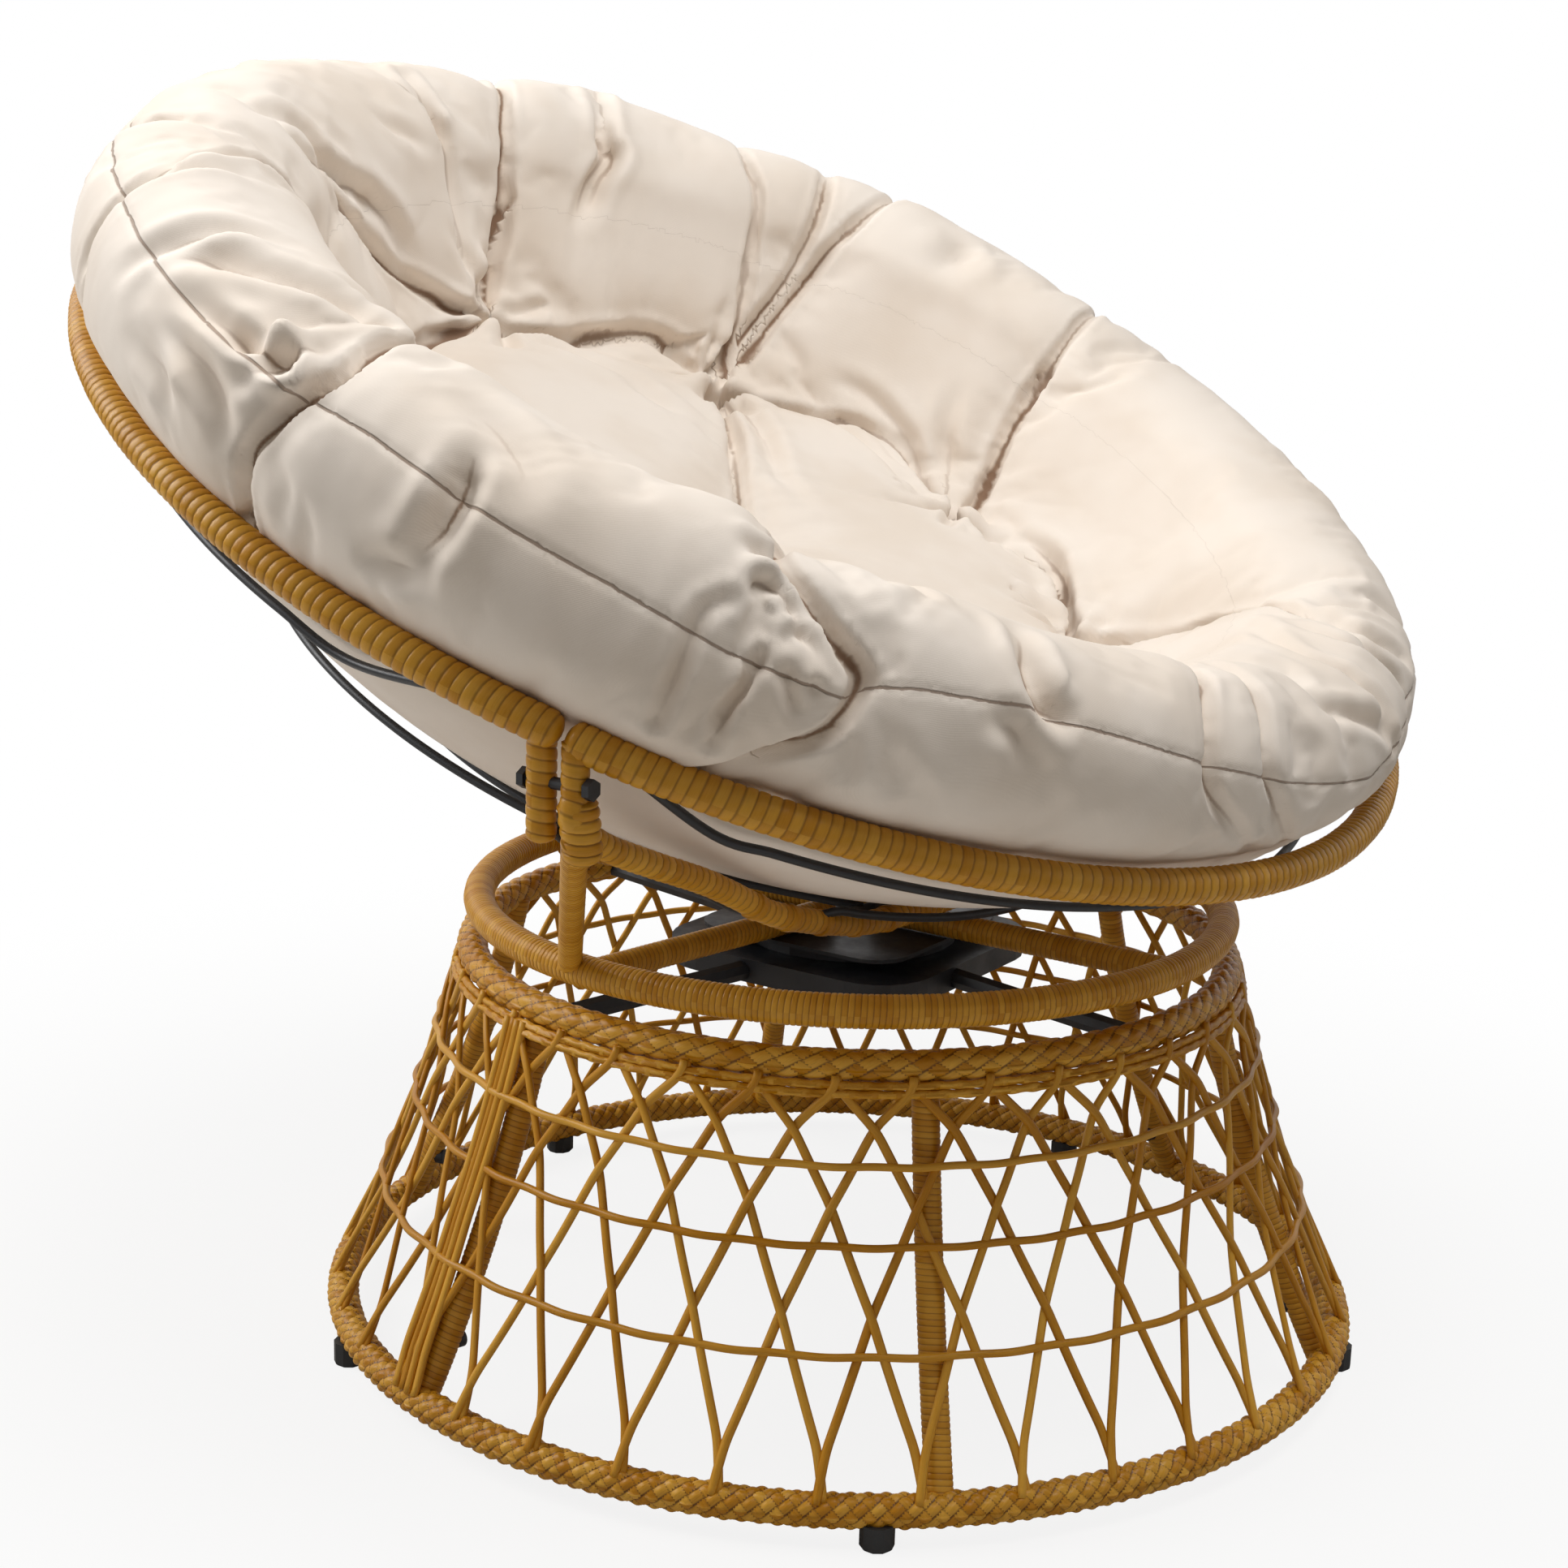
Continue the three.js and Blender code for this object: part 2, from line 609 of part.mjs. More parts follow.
function cushionSection() {
  const rollTurns = [165, 130, 95, 60, 25, -15];
  const rollCreaseShares = [1, 0.95, 0.8, 0.6, 0.45, 0.25];
  const seatShares = [[0.28, 0.45, 0], [0.58, 0.9, 0.1], [0.84, 0.95, 0.3], [1, 0.35, 0.6]];
  const seat = seatShares.map(([out, swell, crease]) => {
    const height = THREE.MathUtils.lerp(-seatDepth, -tuftSink, out ** 2) + seatCrown * (swell - out ** 4);
    return [out * tuftRadius, height, crease];
  });
  const roll = rollTurns.map((turn, i) => {
    const height = rollHeight + rollRadius * Math.sin(rad(turn));
    return [rollMiddle + rollRadius * Math.cos(rad(turn)), height, rollCreaseShares[i]];
  });
  const wall = [THREE.MathUtils.lerp(tuftRadius, roll[0][0], 0.4), (roll[0][1] - tuftSink) / 2, 1];
  const clear = hoopTube + cushionRest;
  const rim = [
    [cushionRadius - clear / 2, clear * 1.4, 0.1],
    [hoopRadius, clear * 1.1, 0],
    [hoopRadius - clear * 0.9, clear * 0.75, 0],
    [hoopRadius - clear * 1.4, -clear / 2, 0],
  ];
  const lowerShares = [0.91, 0.7, 0.35];
  const lower = lowerShares.map((share) => [share * hoopRadius, cushionUnder(share * hoopRadius), 0]);
  return { upper: [...seat, wall, ...roll], rim, lower };
}

// How far the nearest tuft pulls a point of the seat or wall down.
function tuftPull(radius, turn) {
  const step = fullTurn / tuftCount;
  const aside = THREE.MathUtils.euclideanModulo(turn - tuftLead + step / 2, step) - step / 2;
  const away = Math.hypot(radius * Math.cos(rad(aside)) - tuftRadius, radius * Math.sin(rad(aside)));
  return tuftDepth * Math.exp(-((away / tuftWidth) ** 2));
}

// A point of the cushion's surface. A crease draws the roll in towards the middle of its section, and the
// front of the rim is lower and drawn in.
function cushionPoint([radius, height, crease], turn, onTop) {
  const lobe = Math.abs(Math.sin(rad(((turn - tuftLead) * tuftCount) / 2)));
  const depth = crease * creaseDepth * (1 - lobe);
  const reach = Math.hypot(radius - rollMiddle, height - rollHeight);
  const onRoll = onTop && radius > tuftRadius;
  const inward = onRoll ? depth / reach : 0;
  const sag = Math.max(0, Math.cos(rad(turn - sagTurn))) ** 1.5;
  const r = radius - (radius - rollMiddle) * inward;
  const h = height - (height - rollHeight) * inward;
  const sunk = onTop && !onRoll ? depth : 0;
  const low = h > 0 ? h * (1 - (sag * frontSag) / (rollHeight + rollRadius)) : h;
  const drawn = radius > rollMiddle && height > -hoopTube ? frontDraw * sag : 0;
  const pull = onTop && radius < rollMiddle ? tuftPull(radius, turn) : 0;
  return hoopPoint(r - drawn, turn, low - sunk - pull);
}

function cushion() {
  const sides = 6 * tuftCount;
  const { upper, rim, lower } = cushionSection();
  const rows = [...upper, ...rim, ...lower];
  const positions = hoopPoint(0, 0, -seatDepth).toArray();
  rows.forEach((row, level) => {
    for (let i = 0; i < sides; i += 1)
      positions.push(...cushionPoint(row, tuftLead + (fullTurn * i) / sides, level < upper.length).toArray());
  });
  positions.push(...hoopPoint(0, 0, cushionUnder(0)).toArray());
  const index = [];
  const last = rows.length * sides + 1;
  const vertex = (level, i) => 1 + level * sides + (i % sides);
  for (let i = 0; i < sides; i += 1) {
    index.push(0, vertex(0, i), vertex(0, i + 1));
    index.push(last, vertex(rows.length - 1, i + 1), vertex(rows.length - 1, i));
    for (let level = 0; level < rows.length - 1; level += 1) {
      index.push(vertex(level, i), vertex(level + 1, i), vertex(level + 1, i + 1));
      index.push(vertex(level, i), vertex(level + 1, i + 1), vertex(level, i + 1));
    }
  }
  const geometry = new THREE.BufferGeometry();
  geometry.setAttribute("position", new THREE.Float32BufferAttribute(positions, 3));
  geometry.setIndex(index);
  const hoops = [hoopFront(cushionRest), hoopRear(cushionRest)];
  const spines = [frontSpineSolid(cushionRest), rearSpineSolid(cushionRest)];
  const sidePieces = [-1, 1].flatMap((side) =>
    [rearPostSolid(side, cushionRest), braceSolid(side, cushionRest), bolt(side, cushionRest)]);
  const rods = Object.keys(rodLevels).map((name) => rodSolid(name, cushionRest));
  return cut(solid(geometry), [...hoops, ...spines, ...sidePieces, ...rods]);
}

// Assembly

const materials = Object.fromEntries(Object.entries(finishes).map(([name, look]) =>
  [name, new THREE.MeshStandardMaterial(look)]));
const group = new THREE.Group();

function place(name, body, finish) {
  const mesh = new THREE.Mesh(geometryOf(body), materials[finish]);
  mesh.name = name;
  group.add(mesh);
}

place("base_bottom_ring", bottomRing(0), "braid");
place("base_top_ring", topRing(0), "braid");
legTurns.forEach((turn, i) => place(`base_leg_${i + 1}`, leg(turn), "wrap"));
for (let i = 0; i < footCount; i += 1)
  place(`foot_${i + 1}`, foot(footFirstTurn + (fullTurn * i) / footCount), "glide");
const wholeSkirt = skirt();
legTurns.forEach((turn, i) => place(`skirt_panel_${i + 1}`, wholeSkirt.intersect(sector(turn)), "strand"));
for (let i = 0; i < armCount; i += 1)
  place(`base_arm_${i + 1}`, baseArm(armFirstTurn + (fullTurn * i) / armCount), "steel");
place("swivel_lower_plate", lowerPlate(), "steel");
place("swivel_race", race(), "steel");
place("swivel_pin", pin(), "steel");
place("swivel_upper_plate", upperPlate(), "steel");
place("swivel_ring", swivelRing(0), "wrap");
crossbarTurns.forEach((turn, i) => place(`crossbar_${i + 1}`, crossbar(turn), "wrap"));
place("brace_left", brace(-1), "wrap");
place("brace_right", brace(1), "wrap");
place("hoop_front", hoopFront(0), "wrap");
place("hoop_rear", hoopRear(0), "wrap");
place("front_spine", frontSpine(), "wrap");
place("rear_spine", rearSpine(), "steel");
place("rear_post_left", rearPost(-1), "wrap");
place("rear_post_right", rearPost(1), "wrap");
place("joint_bolt_left", bolt(-1, 0), "steel");
place("joint_bolt_right", bolt(1, 0), "steel");
Object.keys(rodLevels).forEach((name) => place(name, rod(name), "steel"));
place("seat_cushion", cushion(), "cloth");

// The origin stands under the middle of the chair's outer box.
const outerBox = new THREE.Box3().setFromObject(group);
group.position.y = -(outerBox.min.y + outerBox.max.y) / 2;

export default group;
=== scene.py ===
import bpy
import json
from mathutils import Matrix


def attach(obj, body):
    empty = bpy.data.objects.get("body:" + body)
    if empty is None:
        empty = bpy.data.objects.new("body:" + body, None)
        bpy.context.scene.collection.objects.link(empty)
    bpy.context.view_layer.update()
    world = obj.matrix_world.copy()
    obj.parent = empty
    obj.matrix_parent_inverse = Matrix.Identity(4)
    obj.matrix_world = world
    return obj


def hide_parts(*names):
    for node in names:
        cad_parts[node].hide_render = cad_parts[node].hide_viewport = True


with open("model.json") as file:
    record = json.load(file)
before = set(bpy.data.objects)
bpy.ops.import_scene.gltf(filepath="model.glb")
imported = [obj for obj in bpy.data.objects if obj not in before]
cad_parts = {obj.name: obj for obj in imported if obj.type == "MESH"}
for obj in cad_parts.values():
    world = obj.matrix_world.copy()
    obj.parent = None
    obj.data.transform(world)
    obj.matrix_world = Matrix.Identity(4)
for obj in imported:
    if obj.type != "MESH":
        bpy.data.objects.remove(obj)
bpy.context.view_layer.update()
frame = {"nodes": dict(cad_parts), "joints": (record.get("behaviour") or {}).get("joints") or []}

import json
import math

import bmesh
import bpy
import numpy as np
from bpy.props import FloatProperty, FloatVectorProperty, IntProperty, PointerProperty
from bpy.types import Operator, Panel, PropertyGroup
from mathutils import Matrix, Vector, noise

bl_info = {
    "name": "Papasan Swivel Chair",
    "version": (1, 0, 0),
    "blender": (4, 5, 0),
    "location": "View3D > Sidebar > Papasan",
    "description": "Dresses the chair's frame with wrapped cane, a woven skirt, black steel and a tufted cushion",
    "category": "Add Mesh",
}

MM = 0.001

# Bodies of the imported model
BASE = "base"
BOWL = "bowl"

# Sizes and places in millimetres round the swivel's axis, as in the part's source; turns in degrees
AXIS_Y = frame["joints"][0]["pos_m"][1]
HOOP_RADIUS = 520
HOOP_TUBE = 12.5
HOOP_TILT = math.radians(23.18)
HOOP_CENTRE = (0, 93.4, 638.98)
HOOP_SPLIT = 67
HOOP_END_GAP = 1.2
HOOP_UP = (0, -math.sin(HOOP_TILT), math.cos(HOOP_TILT))
BOWL_DEPTH = 245
BOWL_RADIUS = (HOOP_RADIUS ** 2 + BOWL_DEPTH ** 2) / (2 * BOWL_DEPTH)
BOWL_MIDDLE_Y = HOOP_CENTRE[1] - (BOWL_RADIUS - BOWL_DEPTH) * math.sin(HOOP_TILT)
BOWL_MIDDLE_Z = HOOP_CENTRE[2] + (BOWL_RADIUS - BOWL_DEPTH) * math.cos(HOOP_TILT)

FRONT_SPINE_Y = -101
REAR_SPINE_Y = -75
SPINE_TUBE = 9
SPINE_DROP = 52
SPINE_SPREAD = 477.06
SPINE_BEND_Z = 494.96
SPINE_X_SHARES = (0, 0.22, 0.35, 0.53, 0.65, 0.72, 0.84, 0.94, 1)
SPINE_DROP_SHARES = (0.03, 0.11, 0.175, 0.23, 0.2, 0.25, 0.53, 0.87, 1)
REAR_POST_TUBE = 9.7
REAR_SPINE_TUBE = 5
# The binding that ties post and spine together: how far in and up it starts, and how it slants down
BINDING_INSET, BINDING_TOP = 2, 26
BINDING_SLANT, BINDING_LENGTH = 7, 44
BINDING_TUBE = 13
# Bands of dark cane on the front spine
BAND_SHARES = (0.24, 0.28, 0.32, 0.36, 0.4, 0.44, 0.56, 0.6, 0.64, 0.68, 0.72, 0.76)
BAND_REACH = 3.2
BAND_STRAND = 700

SWIVEL_RING_RADIUS = 287.8
SWIVEL_RING_TUBE = 12
SWIVEL_RING_Z = 337.5
CROSSBAR_TUBE = 10
CROSSBAR_INNER_END = 26
CROSSBAR_Z = 330.4
CROSSBAR_TURNS = (10, 90, 170, 270)
BRACE_TUBE = 8.7
BRACE_TURN = 11

BOTTOM_RING_RADIUS = 393.4
BOTTOM_RING_TUBE = 12
BOTTOM_RING_Z = 24
TOP_RING_RADIUS = 292.9
TOP_RING_TUBE = 11.4
TOP_RING_Z = 300.5
BRAID_COVER = 0.4
LEG_TUBE = 10
LEG_INSET = 17.1
LEG_TURNS = tuple(43 + 60 * i for i in range(6))
STUD_Z = 62
STUD_RADIUS = 6.5
STUD_LENGTH = 9
STUD_ROUNDING = 1.5

STRAND_WIDTH = 6.6
STRAND_THICKNESS = 5
ANCHOR_COUNT = 36
ANCHOR_PITCH = 360 / ANCHOR_COUNT
FIRST_ANCHOR = 51
# The skirt's face bows in from a straight line between the two rings, by this share of its spread.
SKIRT_BOW = 0.38
SKIRT_FOOT, SKIRT_TOP = BOTTOM_RING_Z + 7, TOP_RING_Z - 2
CROSSING_Z = (142.97, 210.88, 262.04, 288.5)
CROSS_UNDER_Z = 46
# How far a strand has drifted from its anchor, in degrees, at some heights
DRIFT_Z = (SKIRT_FOOT, CROSS_UNDER_Z, 63, *CROSSING_Z)
DRIFTS = (-0.35, 0, 0.5, 5, 10, 15, 20)
# How unevenly the anchors are spread and the strands sway, in degrees, and the length of a sway
ANCHOR_SCATTER = 0.08
STRAND_SWAY, SWAY_HEIGHT = 0.1, 40
TIE_Z = (118.97, 186.88, 238.04)
TIE_TUBE = 2.9
TIE_LIFT = 2.2
TIE_WEAVE = 0.8
# The skirt is closed by canes side by side. They drift at the foot and the top, every other one lies deeper,
# and all of them wave in and out.
CLOSING_TURNS = (159.1, 160.2, 161.3, 162.4)
CLOSING_DRIFT_Z = (SKIRT_FOOT, 60, 150, 300)
CLOSING_DRIFTS = (1.6, 0.6, 0, 0.9)
CLOSING_TUBE, CLOSING_FLAT = 3.4, 0.8
CLOSING_LIFT, CLOSING_STEP = 2.6, 0.5
CLOSING_WAVE, CLOSING_WAVE_HEIGHT = 0.4, 33
# Two narrow braids lie under the top ring, given as height and inset from the skirt's face
NARROW_BRAIDS = ((290, 2.8), (284.5, 2.2))
NARROW_BRAID_TUBE, NARROW_BRAID_CELL, NARROW_BRAID_LIFT = 3.4, 16, 1.2

# The rods of the bowl: depth in the bowl as a share, and how far round from the front or rear they reach
ROD_TUBE = 3.3
ROD_HOOK = 4
RODS = {
    "rear_rod_upper": (0.2, 77),
    "rear_rod_middle": (0.612, 44),
    "rear_rod_lower": (0.816, 25),
    "front_rod_upper": (0.184, 60),
    "front_rod_middle": (0.612, 37),
}
COATED = ("base_arm", "swivel_lower", "swivel_race", "swivel_pin", "swivel_upper", "joint_bolt")

# Lamps as name, place in metres, size and the setting that holds the power
LAMPS = (
    ("key_lamp", (-1.2, 2.3, 2.2), 2.2, "key_power"),
    ("top_lamp", (-0.2, -0.7, 3.2), 1.8, "top_power"),
    ("fill_lamp", (-2.6, -2.4, 1.6), 2.0, "fill_power"),
)
LAMP_TARGET = (0, AXIS_Y, 0.5)
SKY_TINT = (1, 0.9, 0.78)
FLOOR_RADIUS = 40
# The floor turns into its backdrop between these distances from the chair, in metres, by these shares
FLOOR_FADE = (0.35, 1.3, 0.86, 1.0)
CAMERA_PLACE = (-1.7163, AXIS_Y - 1.0725, 0.9089)
CAMERA_TURNS = ((-56.4587, "Z"), (90 - 13.4473, "X"), (1.6501, "Z"))


def srgb(red, green, blue):
    """A linear colour from the values that a colour picker shows."""
    shares = (value / 255 for value in (red, green, blue))
    return tuple(s / 12.92 if s <= 0.04045 else ((s + 0.055) / 1.055) ** 2.4 for s in shares)


def colour_property(name, description, *levels):
    return FloatVectorProperty(
        name=name, description=description, subtype="COLOR", size=3, min=0, max=1, default=srgb(*levels))


def length_property(name, description, millimetres):
    return FloatProperty(
        name=name, description=description, subtype="DISTANCE", unit="LENGTH", min=0.0001,
        default=millimetres * MM)


def number_property(name, description, default, **limits):
    return FloatProperty(name=name, description=description, default=default, min=0, **limits)


class CaneSettings(PropertyGroup):
    """Sizes and colours of the wrapped and woven cane."""

    light: colour_property("Light strand", "Palest tone of the cane", 228, 174, 66)
    middle: colour_property("Middle strand", "Usual tone of the cane", 186, 124, 6)
    # The second tone is the colour of dark streaks in the grain, and also the painted shadow in the creases between
    # turns and in the holes of the braid.
    dark_tone_and_shade: colour_property("Crease", "Tone between the turns of the wrap", 86, 48, 6)
    hoop_pitch: length_property("Hoop turn", "Width of one turn of cane round the hoop", 7.9)
    ring_pitch: length_property("Ring turn", "Width of one turn round the rings, bars and legs", 4.2)
    braid_cell: length_property("Braid cell", "Length of one crossing in the base rings' braid", 12)
    braid_lift: length_property("Braid lift", "Height of the strands over the holes of the braid", 2.6)
    weave_lift: length_property("Skirt weave", "How far the strands pass over and under each other", 1.5)


class SteelSettings(PropertyGroup):
    """Colours of the black steel and the glides."""

    steel: colour_property("Steel", "Powder coat of the rods, arms and plates", 26, 28, 33)
    worn: colour_property("Worn steel", "Tone of the coat where it is rubbed", 62, 64, 70)
    rubber: colour_property("Glide", "Black plastic of the glides", 17, 17, 18)


class CushionSettings(PropertyGroup):
    """Sizes, filling and colours of the cushion."""

    cloth: colour_property("Cloth", "Cream cotton cloth", 240, 230, 219)
    # Painted shadow: this tone is mixed in beside the creases; it also mottles the cloth at random.
    fold_shade_and_mottle: colour_property("Cloth in folds", "Tone of the cloth where it folds under", 206, 184, 158)
    # The seam colour paints the line of the seams, their thread and painted shadow, and the painted shadow lines
    # along the creases.
    seam: colour_property("Seam", "Thread and shadow of the seams", 122, 90, 66)
    mesh_size: length_property("Mesh size", "Size of the faces before the cloth is inflated", 7)
    fold_limit: length_property("Most movement", "How far the inflated cloth may move", 15)
    pressure: number_property("Pressure", "Pressure of the filling in the simulation", 4, max=20)
    slack: number_property("Slack", "How much wider than its shape the cloth is cut", 0.035, max=0.3)
    frames: IntProperty(
        name="Frames", description="Steps of the cloth simulation", default=20, min=1, max=60)


class StageSettings(PropertyGroup):
    """Floor, lamps and camera."""

    floor: colour_property("Floor", "Pale floor under the chair", 216, 214, 210)
    key_power: number_property("Key lamp", "Power of the large lamp behind the chair", 66)
    top_power: number_property("Top lamp", "Power of the lamp over the chair", 61)
    fill_power: number_property("Fill lamp", "Power of the lamp at the camera", 1)
    sky: number_property("Sky", "Strength of the even light from all sides", 0.13)
    lens: FloatProperty(
        name="Lens", description="Focal length of the camera", subtype="DISTANCE_CAMERA",
        default=61.84, min=1)


# Places and paths


def hoop_points(radius, turns, heights):
    """Places by distance from the hoop's axis, degrees from its front and height over its plane."""
    radius, turns, heights = np.broadcast_arrays(
        np.asarray(radius, float), np.radians(np.asarray(turns, float)), np.asarray(heights, float))
    along = -radius * np.cos(turns)
    x = radius * np.sin(turns)
    y = HOOP_CENTRE[1] + along * math.cos(HOOP_TILT) - heights * math.sin(HOOP_TILT)
    z = HOOP_CENTRE[2] + along * math.sin(HOOP_TILT) + heights * math.cos(HOOP_TILT)
    return np.stack([x, y, z], -1)


def hoop_height(y):
    """Height of the hoop's middle line over a setback, near the posts."""
    return HOOP_CENTRE[2] + (y - HOOP_CENTRE[1]) * math.tan(HOOP_TILT)


def metres(points):
    """Points in millimetres round the swivel's axis, as metres of the frame."""
    return np.asarray(points, float) * MM + np.array([0, AXIS_Y, 0])


def polar(radius, turns, z):
    """Places by distance from the swivel's axis, degrees from +X and height."""
    radius, turns, z = np.broadcast_arrays(
        np.asarray(radius, float), np.radians(np.asarray(turns, float)), np.asarray(z, float))
    return np.stack([radius * np.cos(turns), radius * np.sin(turns), z], -1)


def bowl_floor(x, y):
    """Height of the bowl's sphere over the floor."""
    return BOWL_MIDDLE_Z - np.sqrt(BOWL_RADIUS ** 2 - np.square(x) - (y - BOWL_MIDDLE_Y) ** 2)


def skirt_radius(z):
    """Outer face of the skirt at a height."""
    low, high = BOTTOM_RING_RADIUS + BOTTOM_RING_TUBE, TOP_RING_RADIUS + TOP_RING_TUBE
    fall = (TOP_RING_Z - np.asarray(z, float)) / (TOP_RING_Z - BOTTOM_RING_Z)
    return high + (low - high) * ((1 - SKIRT_BOW) * fall + SKIRT_BOW * fall ** 2)


def smooth_line(points, steps=12):
    """A curve through the points, with even tangents as in the part's source."""
    points = np.asarray(points, float)
    first, last = 2 * points[0] - points[1], 2 * points[-1] - points[-2]
    ring = np.vstack([first, points, last])
    pieces = []
    for a, b, c, d in zip(ring, ring[1:], ring[2:], ring[3:]):
        for t in np.arange(steps) / steps:
            pieces.append(0.5 * (2 * b + (c - a) * t + (2 * a - 5 * b + 4 * c - d) * t ** 2
                                 + (3 * b - a - 3 * c + d) * t ** 3))
    return np.vstack([pieces, points[-1:]])


class Path:
    """A middle line in metres with two directions across it at each place."""

    def __init__(self, points, aside, closed=False):
        points = metres(points)
        self.closed = closed
        if closed:
            points = np.vstack([points, points[:1]])
        steps = np.linalg.norm(np.diff(points, axis=0), axis=1)
        self.places = np.concatenate([[0], np.cumsum(steps)])
        self.length = self.places[-1]
        self.points = points
        ahead = np.gradient(points, self.places, axis=0)
        if closed:
            ahead[0] = ahead[-1] = ahead[0] + ahead[-1]
        ahead /= np.linalg.norm(ahead, axis=1, keepdims=True)
        aside = np.broadcast_to(np.asarray(aside, float), points.shape).copy()
        out = np.cross(ahead, aside)
        out /= np.linalg.norm(out, axis=1, keepdims=True)
        self.ahead = ahead
        self.out = out
        self.side = np.cross(out, ahead)

    def at(self, places):
        """Middle points and both directions at the places, run on straight past the ends."""
        inside = np.mod(places, self.length) if self.closed else np.clip(places, 0, self.length)

        def read(rows):
            return np.stack([np.interp(inside, self.places, rows[:, k]) for k in range(3)], -1)

        middle = read(self.points)
        if not self.closed:
            middle = middle + read(self.ahead) * (places - inside)[..., None]
        return middle, read(self.out), read(self.side)


def ring_path(radius, z):
    return Path(polar(radius, np.arange(720) / 2, z), (0, 0, 1), closed=True)


# Meshes


def linked(name, data):
    """A new object in the scene."""
    made = bpy.data.objects.new(name, data)
    bpy.context.scene.collection.objects.link(made)
    return made


def mesh_of(shape):
    """The mesh of a finished bmesh."""
    mesh = bpy.data.meshes.new("mesh")
    shape.to_mesh(mesh)
    shape.free()
    return mesh


def read_all(items, name, width, kind=float):
    """One attribute of all vertices, edges or loops as rows of numbers."""
    values = np.empty(len(items) * width, dtype=kind)
    items.foreach_get(name, values)
    return values.reshape(-1, width)


def mesh_places(mesh):
    return read_all(mesh.vertices, "co", 3)


def mesh_normals(mesh):
    return read_all(mesh.vertex_normals, "vector", 3, np.float32).astype(float)


def set_places(mesh, places):
    mesh.vertices.foreach_set("co", np.ascontiguousarray(places, dtype=float).ravel())


def set_uv(mesh, u, v):
    mesh.uv_layers[0].data.foreach_set("uv", np.stack([u, v], -1).astype(float).ravel())


def grid_arrays(rows, sides):
    """A flat grid with a UV map, and the row and side of each of its vertices."""
    shape = bmesh.new()
    shape.loops.layers.uv.new("UVMap")
    bmesh.ops.create_grid(shape, x_segments=rows, y_segments=sides, size=1, calc_uvs=True)
    mesh = mesh_of(shape)
    flat = mesh_places(mesh)
    row = np.rint((flat[:, 0] + 1) / 2 * rows).astype(int)
    side = np.rint((flat[:, 1] + 1) / 2 * sides).astype(int)
    return mesh, row, side


def grid_corners(mesh):
    """The vertex and the face of each corner of a grid."""
    loops = read_all(mesh.loops, "vertex_index", 1, np.int32)[:, 0]
    return loops, np.repeat(np.arange(len(mesh.polygons)), 4)


def roll_up(mesh, path, places, angle, radius):
    """Bends a grid round a path."""
    middle, out, aside = path.at(places)
    across = out * np.cos(angle)[:, None] + aside * np.sin(angle)[:, None]
    set_places(mesh, middle + across * radius[:, None])


def close_up(mesh, weld=1e-6):
    """Welds the seams, closes the ends and turns the faces outwards."""
    shape = bmesh.new()
    shape.from_mesh(mesh)
    bmesh.ops.remove_doubles(shape, verts=shape.verts, dist=weld)
    bmesh.ops.dissolve_degenerate(shape, edges=shape.edges, dist=weld)
    open_edges = [edge for edge in shape.edges if edge.is_boundary]
    if open_edges:
        bmesh.ops.holes_fill(shape, edges=open_edges, sides=0)
    bmesh.ops.recalc_face_normals(shape, faces=shape.faces)
    shape.to_mesh(mesh)
    shape.free()
    mesh.shade_smooth()
    return mesh


def joined(meshes):
    """One mesh that holds several."""
    shape = bmesh.new()
    for mesh in meshes:
        shape.from_mesh(mesh)
        bpy.data.meshes.remove(mesh)
    mesh = mesh_of(shape)
    mesh.shade_smooth()
    return mesh


def add_piece(name, mesh, body, slot, *replaced):
    """Puts a finished mesh into the scene as a piece of the chair."""
    mesh.name = name
    piece = linked(name, mesh)
    mesh.materials.clear()
    mesh.materials.append(slot_material(slot))
    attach(piece, body)
    if replaced:
        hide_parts(*replaced)
    return piece


# One turn of cane: places across it as shares of its width, and how far the cane is raised there
WRAP_PLACES = np.array((0, 0.1, 0.28, 0.5, 0.72, 0.9))
WRAP_RISES = np.array((0, 0.62, 0.93, 1, 0.93, 0.62))
WRAP_UNEVEN = 0.12
WRAP_DRIFT = 0.06
# Depth of the crease between two turns
HOOP_GROOVE, SPINE_GROOVE, BINDING_GROOVE, RING_GROOVE, FINE_GROOVE = 1.0, 0.8, 1.8, 0.6, 0.5

BRAID_SAMPLES = 8
BRAID_CROWN = 2.4
BRAID_UNDER = 0.55
BRAID_DIP = 0.38
BRAID_UNEVEN = 0.12
BRAID_TONES = 997
SECOND_SET = 500
GRAIN_LENGTH = 0.08


